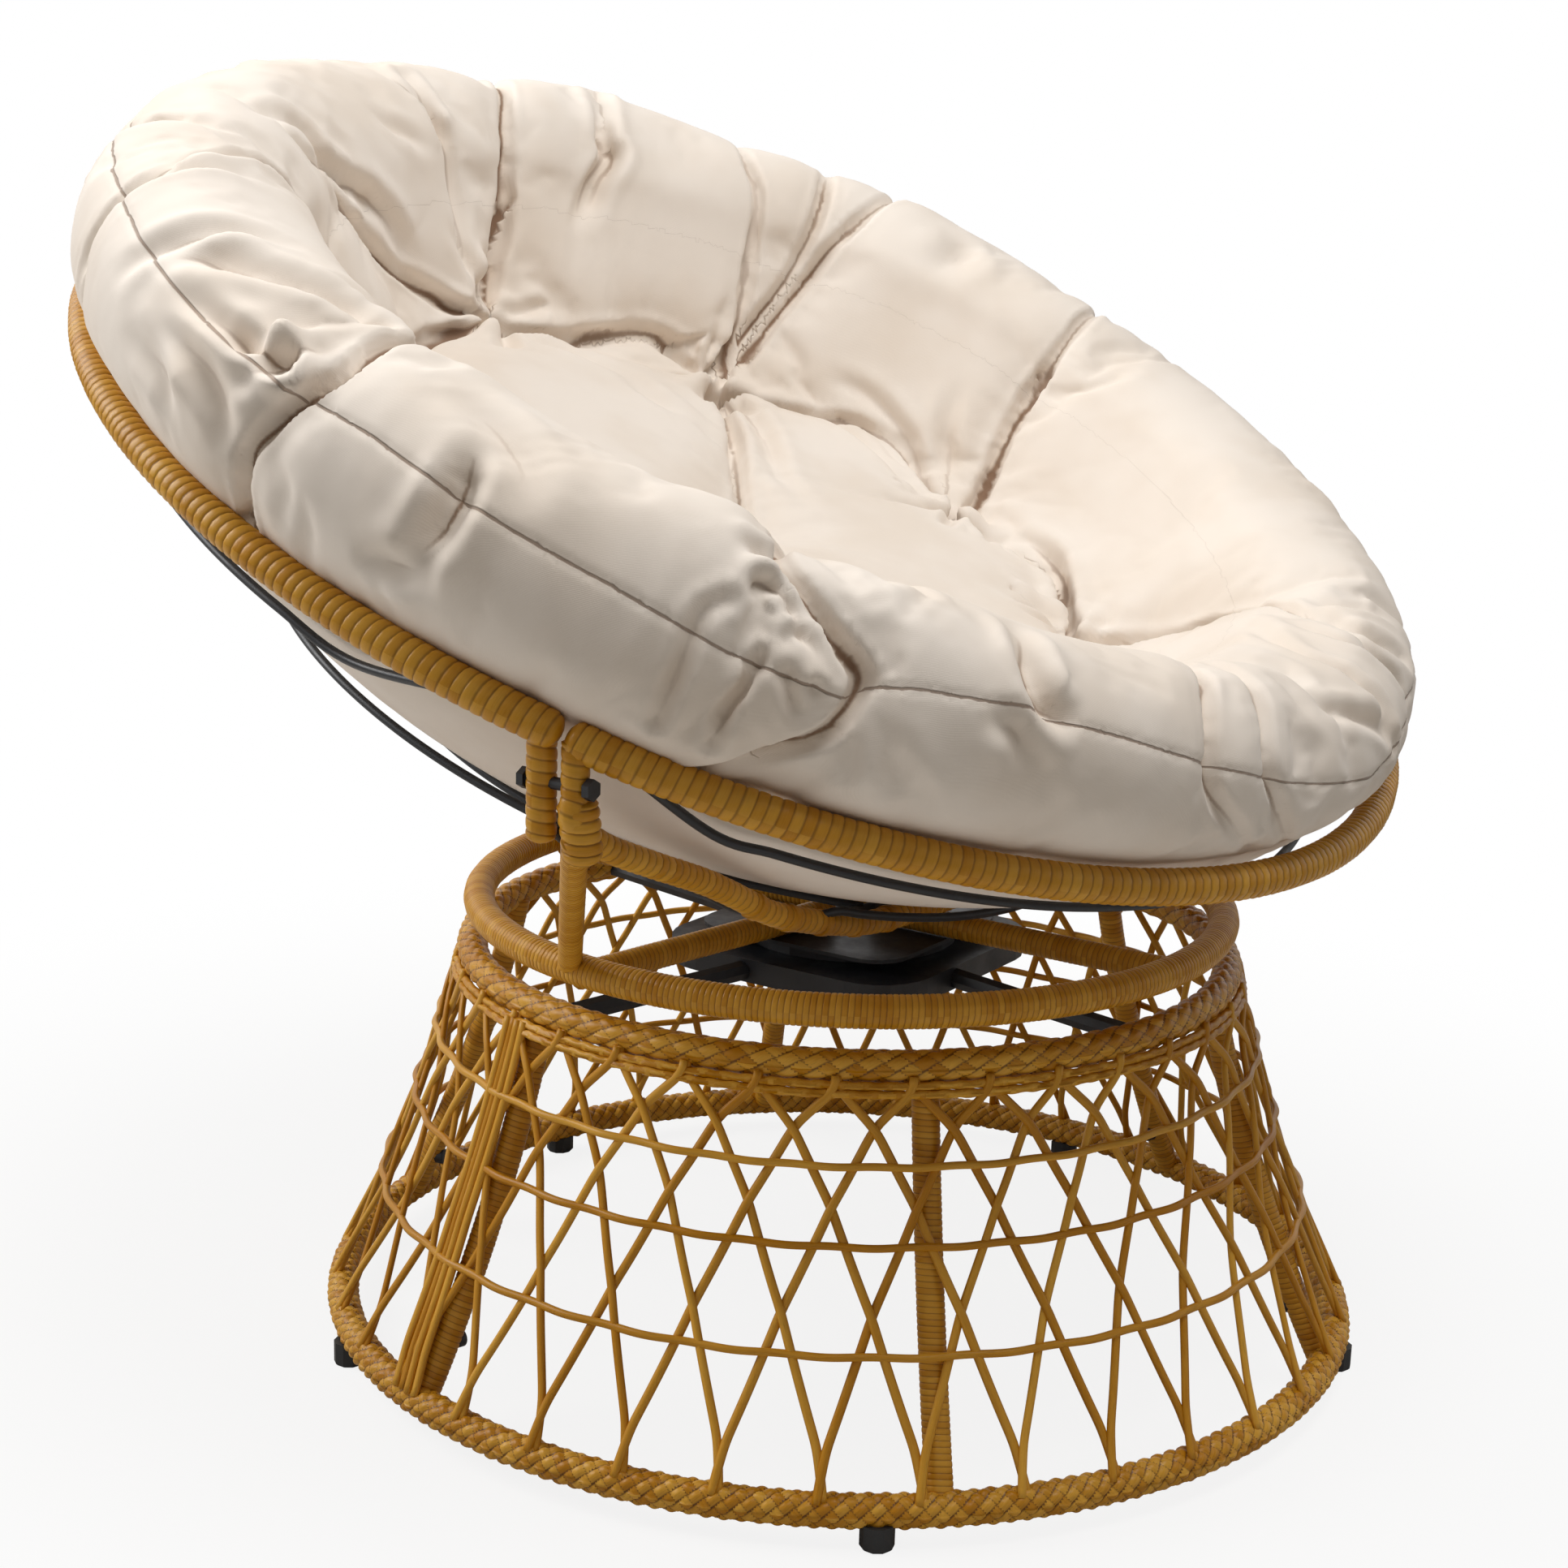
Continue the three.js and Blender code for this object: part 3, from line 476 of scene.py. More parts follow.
def wrapped_tube(path, tube, pitch, groove, sides=14, round_ends=(0, 0), seed=1):
    """A tube wound with flat cane: each turn is crowned, and the turns meet in a crease."""
    rng = np.random.default_rng(seed)
    per_wrap = len(WRAP_PLACES)
    wraps = max(2, round(path.length / pitch))
    pitch = path.length / wraps
    extra = 0 if path.closed else 1
    rows = (wraps + extra) * per_wrap
    mesh, row, side = grid_arrays(rows, sides)
    wrap = row // per_wrap - extra
    phase = WRAP_PLACES[row % per_wrap]
    rise = WRAP_RISES[row % per_wrap]
    share = side / sides
    lift = rng.uniform(-1, 1, wraps + 2) * WRAP_UNEVEN * groove
    drift = rng.uniform(-1, 1, wraps + 2) * WRAP_DRIFT
    # The wrap's number at the seam of a closed ring runs on into its first turn.
    number = (wrap + (share >= 1)) % wraps
    places = (wrap + phase + share) * pitch
    places = places + drift[number] * pitch * rise
    radius = tube - groove * (1 - rise) + lift[number] * rise
    if not path.closed:
        radius = np.where((places <= 0) | (places >= path.length), tube - groove / 2, radius)
        places = np.clip(places, 0, path.length)
        for length, distance in zip(round_ends, (places, path.length - places)):
            if length:
                short = 1 - np.clip(distance / length, 0, 1)
                radius = radius * np.sqrt(1 - short ** 2)
    roll_up(mesh, path, places, 2 * math.pi * share, radius)
    loops, faces = grid_corners(mesh)
    face_row = np.full(len(mesh.polygons), rows)
    np.minimum.at(face_row, faces, row[loops])
    face_wrap = (face_row // per_wrap)[faces]
    across_wrap = np.append(WRAP_PLACES, 1)[row[loops] - face_wrap * per_wrap]
    set_uv(mesh, face_wrap + across_wrap, share[loops])
    return close_up(mesh)


def braided_tube(path, tube, cell, around, lift, seed=1, sides_per_cell=7):
    """A tube covered with a braid: two sets of slanting strands that pass over and under."""
    rng = np.random.default_rng(seed)
    count = round(path.length / cell)
    rows, sides = count * BRAID_SAMPLES, around * sides_per_cell
    mesh, row, side = grid_arrays(rows, sides)
    along = row / BRAID_SAMPLES
    turn = side / sides_per_cell
    a, b = along + turn, along - turn
    part_a, part_b = np.mod(a, 1), np.mod(b, 1)
    even = np.mod(np.floor(a + 1e-6) + np.floor(b + 1e-6), 2) < 0.5

    def ridge_of(own, other):
        crown = 1 - np.abs(2 * own - 1) ** BRAID_CROWN
        return crown * (1 - BRAID_DIP + BRAID_DIP * np.sin(math.pi * other))

    ridge_a, ridge_b = ridge_of(part_a, part_b), ridge_of(part_b, part_a)
    ridge = np.maximum(np.where(even, ridge_a, BRAID_UNDER * ridge_a),
                       np.where(even, BRAID_UNDER * ridge_b, ridge_b))
    strand = np.where(even, np.floor(a), np.floor(b) + SECOND_SET).astype(int) % BRAID_TONES
    uneven = rng.uniform(-BRAID_UNEVEN, BRAID_UNEVEN, BRAID_TONES)[strand]
    radius = tube - lift * (1 - ridge) + uneven * lift * ridge
    roll_up(mesh, path, row / rows * path.length, 2 * math.pi * side / sides, radius)
    loops, faces = grid_corners(mesh)
    own_a, own_b = (np.floor(np.bincount(faces, ways[loops]) / 4) for ways in (a, b))
    over = (np.mod(own_a + own_b, 2) < 0.5)[faces]
    own_a, own_b = own_a[faces], own_b[faces]
    u = np.where(over, own_a + np.clip(a[loops] - own_a, 0, 1),
                 SECOND_SET + own_b + np.clip(b[loops] - own_b, 0, 1))
    set_uv(mesh, u, np.where(over, b[loops], a[loops]) * 0.2)
    return close_up(mesh)


def plain_tube(path, tube, steps, sides=8, flat=1.0, strand=0):
    """A smooth tube along a path. flat is its thickness as a share of its width."""
    mesh, row, side = grid_arrays(steps, sides)
    places = row / steps * path.length
    middle, out, aside = path.at(places)
    angle = 2 * math.pi * side / sides
    across = out * (np.cos(angle) * flat * tube)[:, None] + aside * (np.sin(angle) * tube)[:, None]
    set_places(mesh, middle + across)
    loops, _ = grid_corners(mesh)
    set_uv(mesh, strand + (side[loops] / sides) * 0.98 + 0.01, places[loops] / GRAIN_LENGTH)
    return close_up(mesh)


def add_wrapped(name, path, tube, pitch, groove, body=BOWL, replaced=None, **form):
    """Winds a tube with cane and puts it in for its CAD node."""
    mesh = wrapped_tube(path, tube * MM, pitch, groove * MM, **form)
    add_piece("wrapped_" + name, mesh, body, "wrap", replaced or name)


# Materials


def fill(tree, made, sockets):
    """Gives a node's sockets, by name or number, a value or another node's output."""
    for key, value in sockets.items():
        if isinstance(value, bpy.types.NodeSocket):
            tree.links.new(value, made.inputs[key])
        elif made.inputs[key].type == "RGBA" and len(value) == 3:
            made.inputs[key].default_value = (*value, 1)
        else:
            made.inputs[key].default_value = value


def node(tree, kind, sockets=None, **settings):
    made = tree.nodes.new("ShaderNode" + kind)
    for name, value in settings.items():
        setattr(made, name, value)
    fill(tree, made, sockets or {})
    return made


def maths(tree, operation, *values, clamp=False):
    return node(tree, "Math", dict(enumerate(values)), operation=operation, use_clamp=clamp).outputs[0]


def scaled(tree, value, middle, amount):
    """How far a value is off its middle, times an amount."""
    return maths(tree, "MULTIPLY", maths(tree, "SUBTRACT", value, middle), amount)


def remap(tree, value, from_low, from_high, to_low, to_high):
    made = node(tree, "MapRange", {
        "Value": value, "From Min": from_low, "From Max": from_high,
        "To Min": to_low, "To Max": to_high}, interpolation_type="SMOOTHSTEP")
    return made.outputs["Result"]


def mix_colour(tree, factor, first, second):
    return node(tree, "Mix", {"Factor": factor, 6: first, 7: second}, data_type="RGBA").outputs[2]


def noise_texture(tree, place, scale, detail, roughness=0.5):
    sockets = {"Vector": place, "Scale": scale, "Detail": detail, "Roughness": roughness}
    return node(tree, "TexNoise", sockets).outputs["Fac"]


def bump(tree, height, strength, distance, **normal):
    sockets = {"Height": height, "Strength": strength, "Distance": distance, **normal}
    return node(tree, "Bump", sockets).outputs["Normal"]


def object_place(tree):
    return node(tree, "TexCoord").outputs["Object"]


def cane_group():
    """Colour, roughness and height of split cane, with a painted shadow in the crease at the edges of each strand.
    The UV map's first number counts the strands.
    """
    group = bpy.data.node_groups.get("Cane")
    if group:
        return group
    group = bpy.data.node_groups.new("Cane", "ShaderNodeTree")
    for title, kind, default in (
            ("Strand", "Vector", None), ("Light", "Color", (1, 1, 1, 1)),
            ("Middle", "Color", (1, 1, 1, 1)), ("Dark", "Color", (0, 0, 0, 1)),
            ("Crease", "Float", 0.5), ("Variation", "Float", 0.5)):
        socket = group.interface.new_socket(title, in_out="INPUT", socket_type="NodeSocket" + kind)
        if default is not None:
            socket.default_value = default
    for title, kind in (("Color", "Color"), ("Roughness", "Float"), ("Height", "Float")):
        group.interface.new_socket(title, in_out="OUTPUT", socket_type="NodeSocket" + kind)
    inward = group.nodes.new("NodeGroupInput").outputs
    amount = inward["Variation"]
    along, across_along = node(group, "SeparateXYZ", {0: inward["Strand"]}).outputs[:2]
    number = maths(group, "FLOOR", along)
    across = maths(group, "FRACT", along)
    tone = node(group, "TexWhiteNoise", {"W": number}, noise_dimensions="1D").outputs["Value"]
    lines = node(group, "CombineXYZ", {
        0: maths(group, "MULTIPLY", along, 5.0), 1: maths(group, "MULTIPLY", across_along, 2.2),
        2: maths(group, "MULTIPLY", tone, 30.0)}).outputs[0]
    grain = noise_texture(group, lines, 1.6, 3.0, 0.6)
    cloud = noise_texture(group, object_place(group), 14.0, 2.0)
    mixed = maths(group, "ADD", scaled(group, tone, 0.5, amount), scaled(group, grain, 0.5, amount))
    share = maths(group, "ADD", maths(group, "ADD", mixed, 0.42), scaled(group, cloud, 0.5, 0.7), clamp=True)
    cane = mix_colour(group, share, inward["Middle"], inward["Light"])
    # Painted shadow: the colour darkens towards the edges of each strand, in the creases between turns and the holes
    # of the braid.
    edge = maths(group, "ABSOLUTE", maths(group, "SUBTRACT", across, 0.5))
    crease = maths(group, "MULTIPLY", remap(group, edge, 0.34, 0.5, 0.0, 1.0), inward["Crease"])
    streak = maths(group, "MULTIPLY", remap(group, grain, 0.6, 0.75, 0.0, 0.35), amount)
    fill(group, group.nodes.new("NodeGroupOutput"), {
        "Color": mix_colour(group, maths(group, "MAXIMUM", crease, streak), cane, inward["Dark"]),
        "Roughness": maths(group, "ADD", 0.26, maths(group, "MULTIPLY", grain, 0.2)),
        "Height": grain})
    return group


def cane_nodes(tree, shader, crease, variation, relief):
    """Split cane for one kind of winding, with a painted shadow of the given strength in its creases."""
    colours = bpy.context.scene.papasan_cane
    cane = node(tree, "Group", node_tree=cane_group())
    fill(tree, cane, {
        "Strand": node(tree, "UVMap", uv_map="UVMap").outputs["UV"],
        "Light": colours.light, "Middle": colours.middle, "Dark": colours.dark_tone_and_shade,
        "Crease": crease, "Variation": variation})
    fill(tree, shader, {
        "Base Color": cane.outputs["Color"], "Roughness": cane.outputs["Roughness"],
        "Specular IOR Level": 0.25, "Normal": bump(tree, cane.outputs["Height"], 0.5, relief)})


def steel_nodes(tree, shader):
    colours = bpy.context.scene.papasan_steel
    place = object_place(tree)
    worn = noise_texture(tree, place, 22.0, 6.0, 0.7)
    fill(tree, shader, {
        "Base Color": mix_colour(tree, remap(tree, worn, 0.6, 0.8, 0.0, 0.8), colours.steel, colours.worn),
        "Roughness": remap(tree, worn, 0.3, 0.7, 0.34, 0.55),
        "Normal": bump(tree, noise_texture(tree, place, 900.0, 1.0), 0.25, 0.0002)})


def glide_nodes(tree, shader):
    rubber = bpy.context.scene.papasan_steel.rubber
    speck = noise_texture(tree, object_place(tree), 260.0, 4.0)
    dusty = tuple(value * 2.4 for value in rubber)
    fill(tree, shader, {
        "Base Color": mix_colour(tree, remap(tree, speck, 0.5, 0.8, 0.0, 0.6), rubber, dusty),
        "Roughness": 0.6, "Normal": bump(tree, speck, 0.4, 0.0003)})


def cloth_nodes(tree, shader):
    """Cream cloth with painted shadow beside its creases and painted shadow lines along them, and a line of thread
    and painted shadow along its seam.
    """
    colours = bpy.context.scene.papasan_cushion
    place = object_place(tree)
    side, deep, seam_side = (node(tree, "Attribute", attribute_name=name).outputs["Fac"]
                             for name in ("crease_side", "crease_depth", "seam_side"))
    from_line = maths(tree, "ABSOLUTE", side)
    # Painted shadow: near each crease the colour gets a thin shadow line and a wider band of the shadow tone; the
    # hollow only bumps the surface.
    line, fold_shade, hollow = (
        maths(tree, "MULTIPLY", remap(tree, from_line, *levels), deep)
        for levels in ((0.4, 2.2, 1.0, 0.0), (0.0, 5.0, 0.5, 0.0), (0.0, 4.5, 1.0, 0.0)))
    # The seam's line: its thread and painted shadow.
    seam = remap(tree, maths(tree, "ABSOLUTE", seam_side), 0.5, 1.5, 1.0, 0.0)
    cloud = remap(tree, noise_texture(tree, place, 9.0, 3.0), 0.35, 0.7, 0.0, 0.25)
    cloth = mix_colour(tree, cloud, colours.cloth, colours.fold_shade_and_mottle)
    # Painted shadow beside the creases.
    cloth = mix_colour(tree, fold_shade, cloth, colours.fold_shade_and_mottle)
    # The painted shadow lines of the creases and the seam's line take the seam colour.
    dark_tone_and_shade = maths(tree, "MAXIMUM", line, maths(tree, "MULTIPLY", seam, 0.75))
    warp = node(tree, "TexWave", {"Vector": place, "Scale": 420.0, "Distortion": 1.5},
                bands_direction="DIAGONAL").outputs["Fac"]
    weave = maths(tree, "ADD", warp, noise_texture(tree, place, 700.0, 2.0))
    groove = maths(tree, "SUBTRACT", 1.0, maths(tree, "MAXIMUM", seam, hollow))
    fill(tree, shader, {
        "Base Color": mix_colour(tree, maths(tree, "MULTIPLY", dark_tone_and_shade, 0.9), cloth, colours.seam),
        "Roughness": 0.92, "Sheen Weight": 0.15, "Sheen Roughness": 0.5, "Specular IOR Level": 0.2,
        "Normal": bump(tree, groove, 0.6, 0.0025, Normal=bump(tree, weave, 0.12, 0.0004))})


# Each slot's material, the function that makes its nodes and the values that it takes
MATERIALS = {
    # For cane the values are the strength of the painted crease shadow, the variation of the tone and the height of
    # the grain.
    "wrap": ("Wrapped cane", cane_nodes, 0.5, 0.5, 0.0002),
    "strand": ("Skirt cane", cane_nodes, 0.0, 0.9, 0.0003),
    "braid": ("Braided cane", cane_nodes, 0.85, 1.0, 0.0004),
    "steel": ("Black steel", steel_nodes),
    "glide": ("Glide plastic", glide_nodes),
    "cloth": ("Cushion cloth", cloth_nodes),
}


def new_material(name):
    """A material with nothing but a shader, with its tree and its output."""
    material = bpy.data.materials.new(name)
    material.use_nodes = True
    tree = material.node_tree
    tree.nodes.clear()
    shader = node(tree, "BsdfPrincipled")
    output = node(tree, "OutputMaterial", {"Surface": shader.outputs[0]})
    return material, tree, shader, output


def slot_material(slot):
    """The material of a slot, made where it is missing."""
    name, make_nodes, *values = MATERIALS[slot]
    material = bpy.data.materials.get(name)
    if material is None:
        material, tree, shader, _ = new_material(name)
        make_nodes(tree, shader, *values)
    return material


def coat(names, slot):
    """Gives the CAD nodes that stay as they are their material."""
    for name, kept in frame["nodes"].items():
        if name.startswith(names):
            for place in kept.material_slots:
                place.material = slot_material(slot)


# Operators


class PAPASAN_OT_base_rings(Operator):
    """Braid cane round the two rings of the base"""

    bl_idname = "papasan.base_rings"
    bl_label = "Braided base rings"

    def execute(self, context):
        cane = context.scene.papasan_cane
        rings = (
            ("bottom_ring", BOTTOM_RING_RADIUS, BOTTOM_RING_Z, BOTTOM_RING_TUBE, 1, 1, 31),
            ("top_ring", TOP_RING_RADIUS, TOP_RING_Z, TOP_RING_TUBE, 1.5, 0.7, 32))
        for name, radius, z, tube, longer, lower, seed in rings:
            mesh = braided_tube(ring_path(radius, z), (tube + BRAID_COVER) * MM,
                                cane.braid_cell * longer, 6, cane.braid_lift * lower, seed=seed)
            add_piece("braided_" + name, mesh, BASE, "braid", "base_" + name)
        return {"FINISHED"}


class PAPASAN_OT_legs(Operator):
    """Wrap the legs of the base with fine cane, and put a stud low on each"""

    bl_idname = "papasan.legs"
    bl_label = "Wrapped legs"

    def execute(self, context):
        pitch = context.scene.papasan_cane.ring_pitch
        for i, turn in enumerate(LEG_TURNS, 1):
            z = np.linspace(BOTTOM_RING_Z + 2, TOP_RING_Z - 2, 40)
            line = polar(skirt_radius(z) - LEG_INSET, turn, z)
            sideways = (-math.sin(math.radians(turn)), math.cos(math.radians(turn)), 0)
            add_wrapped(f"leg_{i}", Path(line, sideways), LEG_TUBE, pitch, FINE_GROOVE, BASE,
                        f"base_leg_{i}", sides=12, seed=40 + i)
        add_piece("leg_studs", joined(self.stud(turn) for turn in LEG_TURNS), BASE, "steel")
        return {"FINISHED"}

    def stud(self, turn):
        """A round stud with a rounded rim on the inner side of a leg."""
        reach = float(skirt_radius(STUD_Z)) - LEG_INSET - LEG_TUBE
        place = metres(polar(reach, turn, STUD_Z))
        matrix = (Matrix.Translation(place.tolist()) @ Matrix.Rotation(math.radians(turn), 4, "Z")
                  @ Matrix.Rotation(math.radians(90), 4, "Y"))
        shape = bmesh.new()
        made = bmesh.ops.create_cone(
            shape, cap_ends=True, segments=20, radius1=STUD_RADIUS * MM, radius2=STUD_RADIUS * MM,
            depth=STUD_LENGTH * MM, matrix=matrix)
        # In a set the edges would come in another order each run.
        rims = dict.fromkeys(edge for vert in made["verts"] for edge in vert.link_edges
                             if any(len(face.verts) > 4 for face in edge.link_faces))
        bmesh.ops.bevel(shape, geom=list(rims), offset=STUD_ROUNDING * MM, segments=3, profile=0.5,
                        affect="EDGES", material=-1)
        return mesh_of(shape)


def strand_path(turns, heights, lifts):
    """A strand of the skirt, lying on its face with each point lifted outwards."""
    line = polar(skirt_radius(heights) - STRAND_THICKNESS / 2 + lifts, turns, heights)
    outward = polar(1, turns, 0)
    ahead = np.gradient(line, axis=0)
    aside = np.cross(outward, ahead)
    aside /= np.linalg.norm(aside, axis=1, keepdims=True)
    return Path(line, aside)


class PAPASAN_OT_skirt(Operator):
    """Weave the open skirt of crossing strands between the rings"""

    bl_idname = "papasan.skirt"
    bl_label = "Woven skirt"

    def execute(self, context):
        weave = context.scene.papasan_cane.weave_lift / MM
        meshes = [*self.strands(weave), *self.closing(), *self.ties(weave), *self.narrow_braids()]
        add_piece("woven_skirt", joined(meshes), BASE, "strand",
                  *(f"skirt_panel_{i}" for i in range(1, 7)))
        return {"FINISHED"}

    def strands(self, weave):
        """Two strands from each anchor, which lean opposite ways and pass over and under."""
        rng = np.random.default_rng(71)
        heights = np.arange(SKIRT_FOOT, SKIRT_TOP, 4.5)
        drifts = np.interp(heights, DRIFT_Z, DRIFTS)
        for _ in range(2):
            drifts[1:-1] = (drifts[:-2] + 2 * drifts[1:-1] + drifts[2:]) / 4
        crossings = np.interp(heights, (CROSS_UNDER_Z, *CROSSING_Z), (0, 1, 2, 3, 4))
        over = np.cos(math.pi * crossings)
        for j in range(ANCHOR_COUNT):
            for lean in (-1, 1):
                anchor = FIRST_ANCHOR + j * ANCHOR_PITCH + rng.normal(0, ANCHOR_SCATTER)
                sway = rng.normal(0, STRAND_SWAY) * np.sin(heights / SWAY_HEIGHT + rng.uniform(0, 6))
                path = strand_path(anchor + lean * drifts + sway, heights, lean * weave * over)
                yield plain_tube(path, STRAND_WIDTH / 2 * MM, 62, flat=STRAND_THICKNESS / STRAND_WIDTH,
                                 strand=2 * j + (lean > 0))

    def closing(self):
        """The canes side by side that close the skirt."""
        heights = np.arange(SKIRT_FOOT, SKIRT_TOP, 9)
        drifts = np.interp(heights, CLOSING_DRIFT_Z, CLOSING_DRIFTS)
        for k, turn in enumerate(CLOSING_TURNS):
            waves = CLOSING_WAVE * np.sin(heights / CLOSING_WAVE_HEIGHT + k)
            path = strand_path(turn + drifts, heights, CLOSING_LIFT + CLOSING_STEP * (-1) ** k + waves)
            yield plain_tube(path, CLOSING_TUBE * MM, 40, flat=CLOSING_FLAT, strand=90 + k)

    def ties(self, weave):
        """Level canes that pass over and under the strands."""
        turns = np.linspace(0, 360, 720, endpoint=False)
        for level, z in enumerate(TIE_Z):
            waves = weave * TIE_WEAVE * np.cos(np.radians(turns - FIRST_ANCHOR) * ANCHOR_COUNT + math.pi * level)
            line = polar(skirt_radius(z) - STRAND_THICKNESS / 2 + TIE_LIFT + waves, turns, z)
            path = Path(line, (0, 0, 1), closed=True)
            yield plain_tube(path, TIE_TUBE * MM, 720, strand=100 + level)

    def narrow_braids(self):
        for row, (z, inset) in enumerate(NARROW_BRAIDS):
            yield braided_tube(ring_path(float(skirt_radius(z)) - inset, z), NARROW_BRAID_TUBE * MM,
                               NARROW_BRAID_CELL * MM, 2, NARROW_BRAID_LIFT * MM, seed=81 + row,
                               sides_per_cell=5)


class PAPASAN_OT_glides(Operator):
    """Finish the glides under the bottom ring"""

    bl_idname = "papasan.glides"
    bl_label = "Glides"

    def execute(self, context):
        coat("foot_", "glide")
        return {"FINISHED"}


def rod_line(name):
    """Middle line of a rod of the bowl, in millimetres."""
    share, reach = RODS[name]
    depth = share * BOWL_DEPTH
    rear = name.startswith("rear")
    middle, span, y = (180, 180 - reach, REAR_SPINE_Y) if rear else (0, reach, FRONT_SPINE_Y)
    radius = math.sqrt(BOWL_RADIUS ** 2 - (BOWL_RADIUS - BOWL_DEPTH + depth) ** 2)
    points = hoop_points(radius, middle + span * np.linspace(-1, 1, 25), -depth)
    # Upper rods hook onto the hoop, and the others end on a spine.
    for place, side in ((0, -1), (-1, 1)):
        if name.endswith("upper"):
            points[place] = hoop_points(HOOP_RADIUS, middle + side * (span + ROD_HOOK), 0)
        else:
            x = points[place][0]
            drop = np.interp(abs(x) / SPINE_SPREAD, SPINE_X_SHARES, SPINE_DROP_SHARES)
            points[place] = (x, y, bowl_floor(x, y) - SPINE_DROP * drop + ROD_TUBE)
    return smooth_line(points)


class PAPASAN_OT_steelwork(Operator):
    """Round off the rods of the bowl and coat the arms, plates, pin and bolts"""

    bl_idname = "papasan.steelwork"
    bl_label = "Steelwork"

    def execute(self, context):
        for name in RODS:
            mesh = plain_tube(Path(rod_line(name), HOOP_UP), ROD_TUBE * MM, 200, sides=10)
            add_piece("round_" + name, mesh, BOWL, "steel", name)
        coat(COATED, "steel")
        return {"FINISHED"}


class PAPASAN_OT_swivel_ring(Operator):
    """Wrap the swivel ring and its crossbars with fine cane"""

    bl_idname = "papasan.swivel_ring"
    bl_label = "Swivel ring and crossbars"

    def execute(self, context):
        pitch = context.scene.papasan_cane.ring_pitch
        add_wrapped("swivel_ring", ring_path(SWIVEL_RING_RADIUS, SWIVEL_RING_Z), SWIVEL_RING_TUBE, pitch,
                    RING_GROOVE, seed=11)
        reach = np.linspace(CROSSBAR_INNER_END, SWIVEL_RING_RADIUS - 4, 20)
        for i, turn in enumerate(CROSSBAR_TURNS, 1):
            path = Path(polar(reach, turn, CROSSBAR_Z), (0, 0, 1))
            add_wrapped(f"crossbar_{i}", path, CROSSBAR_TUBE, pitch, FINE_GROOVE, sides=12, seed=20 + i)
        return {"FINISHED"}


def spine_path(y, top):
    """Middle line of a spine from post to post."""
    right = [(share * SPINE_SPREAD, y, bowl_floor(share * SPINE_SPREAD, y) - SPINE_DROP * drop)
             for share, drop in zip(SPINE_X_SHARES, SPINE_DROP_SHARES)]
    right += [(SPINE_SPREAD, y, (SPINE_BEND_Z + top) / 2), (SPINE_SPREAD, y, top)]
    left = [(-x, y, z) for x, y, z in reversed(right[1:])]
    return Path(smooth_line(left + right), (0, 1, 0))


class PAPASAN_OT_spines(Operator):
    """Wrap the front spine, the rear posts and the braces with cane, and round off the steel spine"""

    bl_idname = "papasan.spines"
    bl_label = "Spines, posts and braces"

    def execute(self, context):
        cane = context.scene.papasan_cane
        mesh = joined(self.front_spine(cane.hoop_pitch))
        add_piece("wrapped_front_spine", mesh, BOWL, "wrap", "front_spine")
        rear = spine_path(REAR_SPINE_Y, SPINE_BEND_Z + 3)
        mesh = plain_tube(rear, REAR_SPINE_TUBE * MM, 120, sides=12)
        add_piece("round_rear_spine", mesh, BOWL, "steel", "rear_spine")
        for side, name in ((-1, "left"), (1, "right")):
            x = side * SPINE_SPREAD
            heights = np.linspace(SPINE_BEND_Z - 6, hoop_height(REAR_SPINE_Y), 20)
            post = Path([(x, REAR_SPINE_Y, z) for z in heights], (0, 1, 0))
            add_wrapped("rear_post_" + name, post, REAR_POST_TUBE, cane.hoop_pitch,
                        SPINE_GROOVE, sides=12, round_ends=(0.006, 0), seed=5 + side)
            foot = polar(SWIVEL_RING_RADIUS, BRACE_TURN if side > 0 else 180 - BRACE_TURN, SWIVEL_RING_Z)
            top = np.array((x, FRONT_SPINE_Y, SPINE_BEND_Z))
            line = [foot + (top - foot) * share for share in np.linspace(0.02, 1, 20)]
            add_wrapped("brace_" + name, Path(line, (0, 1, 0)), BRACE_TUBE, cane.ring_pitch,
                        FINE_GROOVE, sides=12, seed=8 + side)
        return {"FINISHED"}

    def front_spine(self, pitch):
        """The wound spine, the bindings round both pairs of posts and the bands along the spine."""
        spine = spine_path(FRONT_SPINE_Y, hoop_height(FRONT_SPINE_Y))
        yield wrapped_tube(spine, SPINE_TUBE * MM, pitch, SPINE_GROOVE * MM, sides=12, seed=3)
        for side in (-1, 1):
            ends = [(side * (SPINE_SPREAD - BINDING_INSET - BINDING_SLANT * t), FRONT_SPINE_Y,
                     SPINE_BEND_Z + BINDING_TOP - BINDING_LENGTH * t) for t in np.linspace(0, 1, 12)]
            yield wrapped_tube(Path(ends, (0, 1, 0)), BINDING_TUBE * MM, pitch, BINDING_GROOVE * MM,
                               round_ends=(0.005, 0.009), seed=60 + side)
        reach = np.linspace(-BAND_REACH, BAND_REACH, 7) * MM
        for share in BAND_SHARES:
            middle, _, _ = spine.at(spine.length * share + reach)
            path = Path((middle - metres((0, 0, 0))) / MM, (0, 1, 0))
            yield plain_tube(path, (SPINE_TUBE + 1) * MM, 6, sides=14, strand=BAND_STRAND)


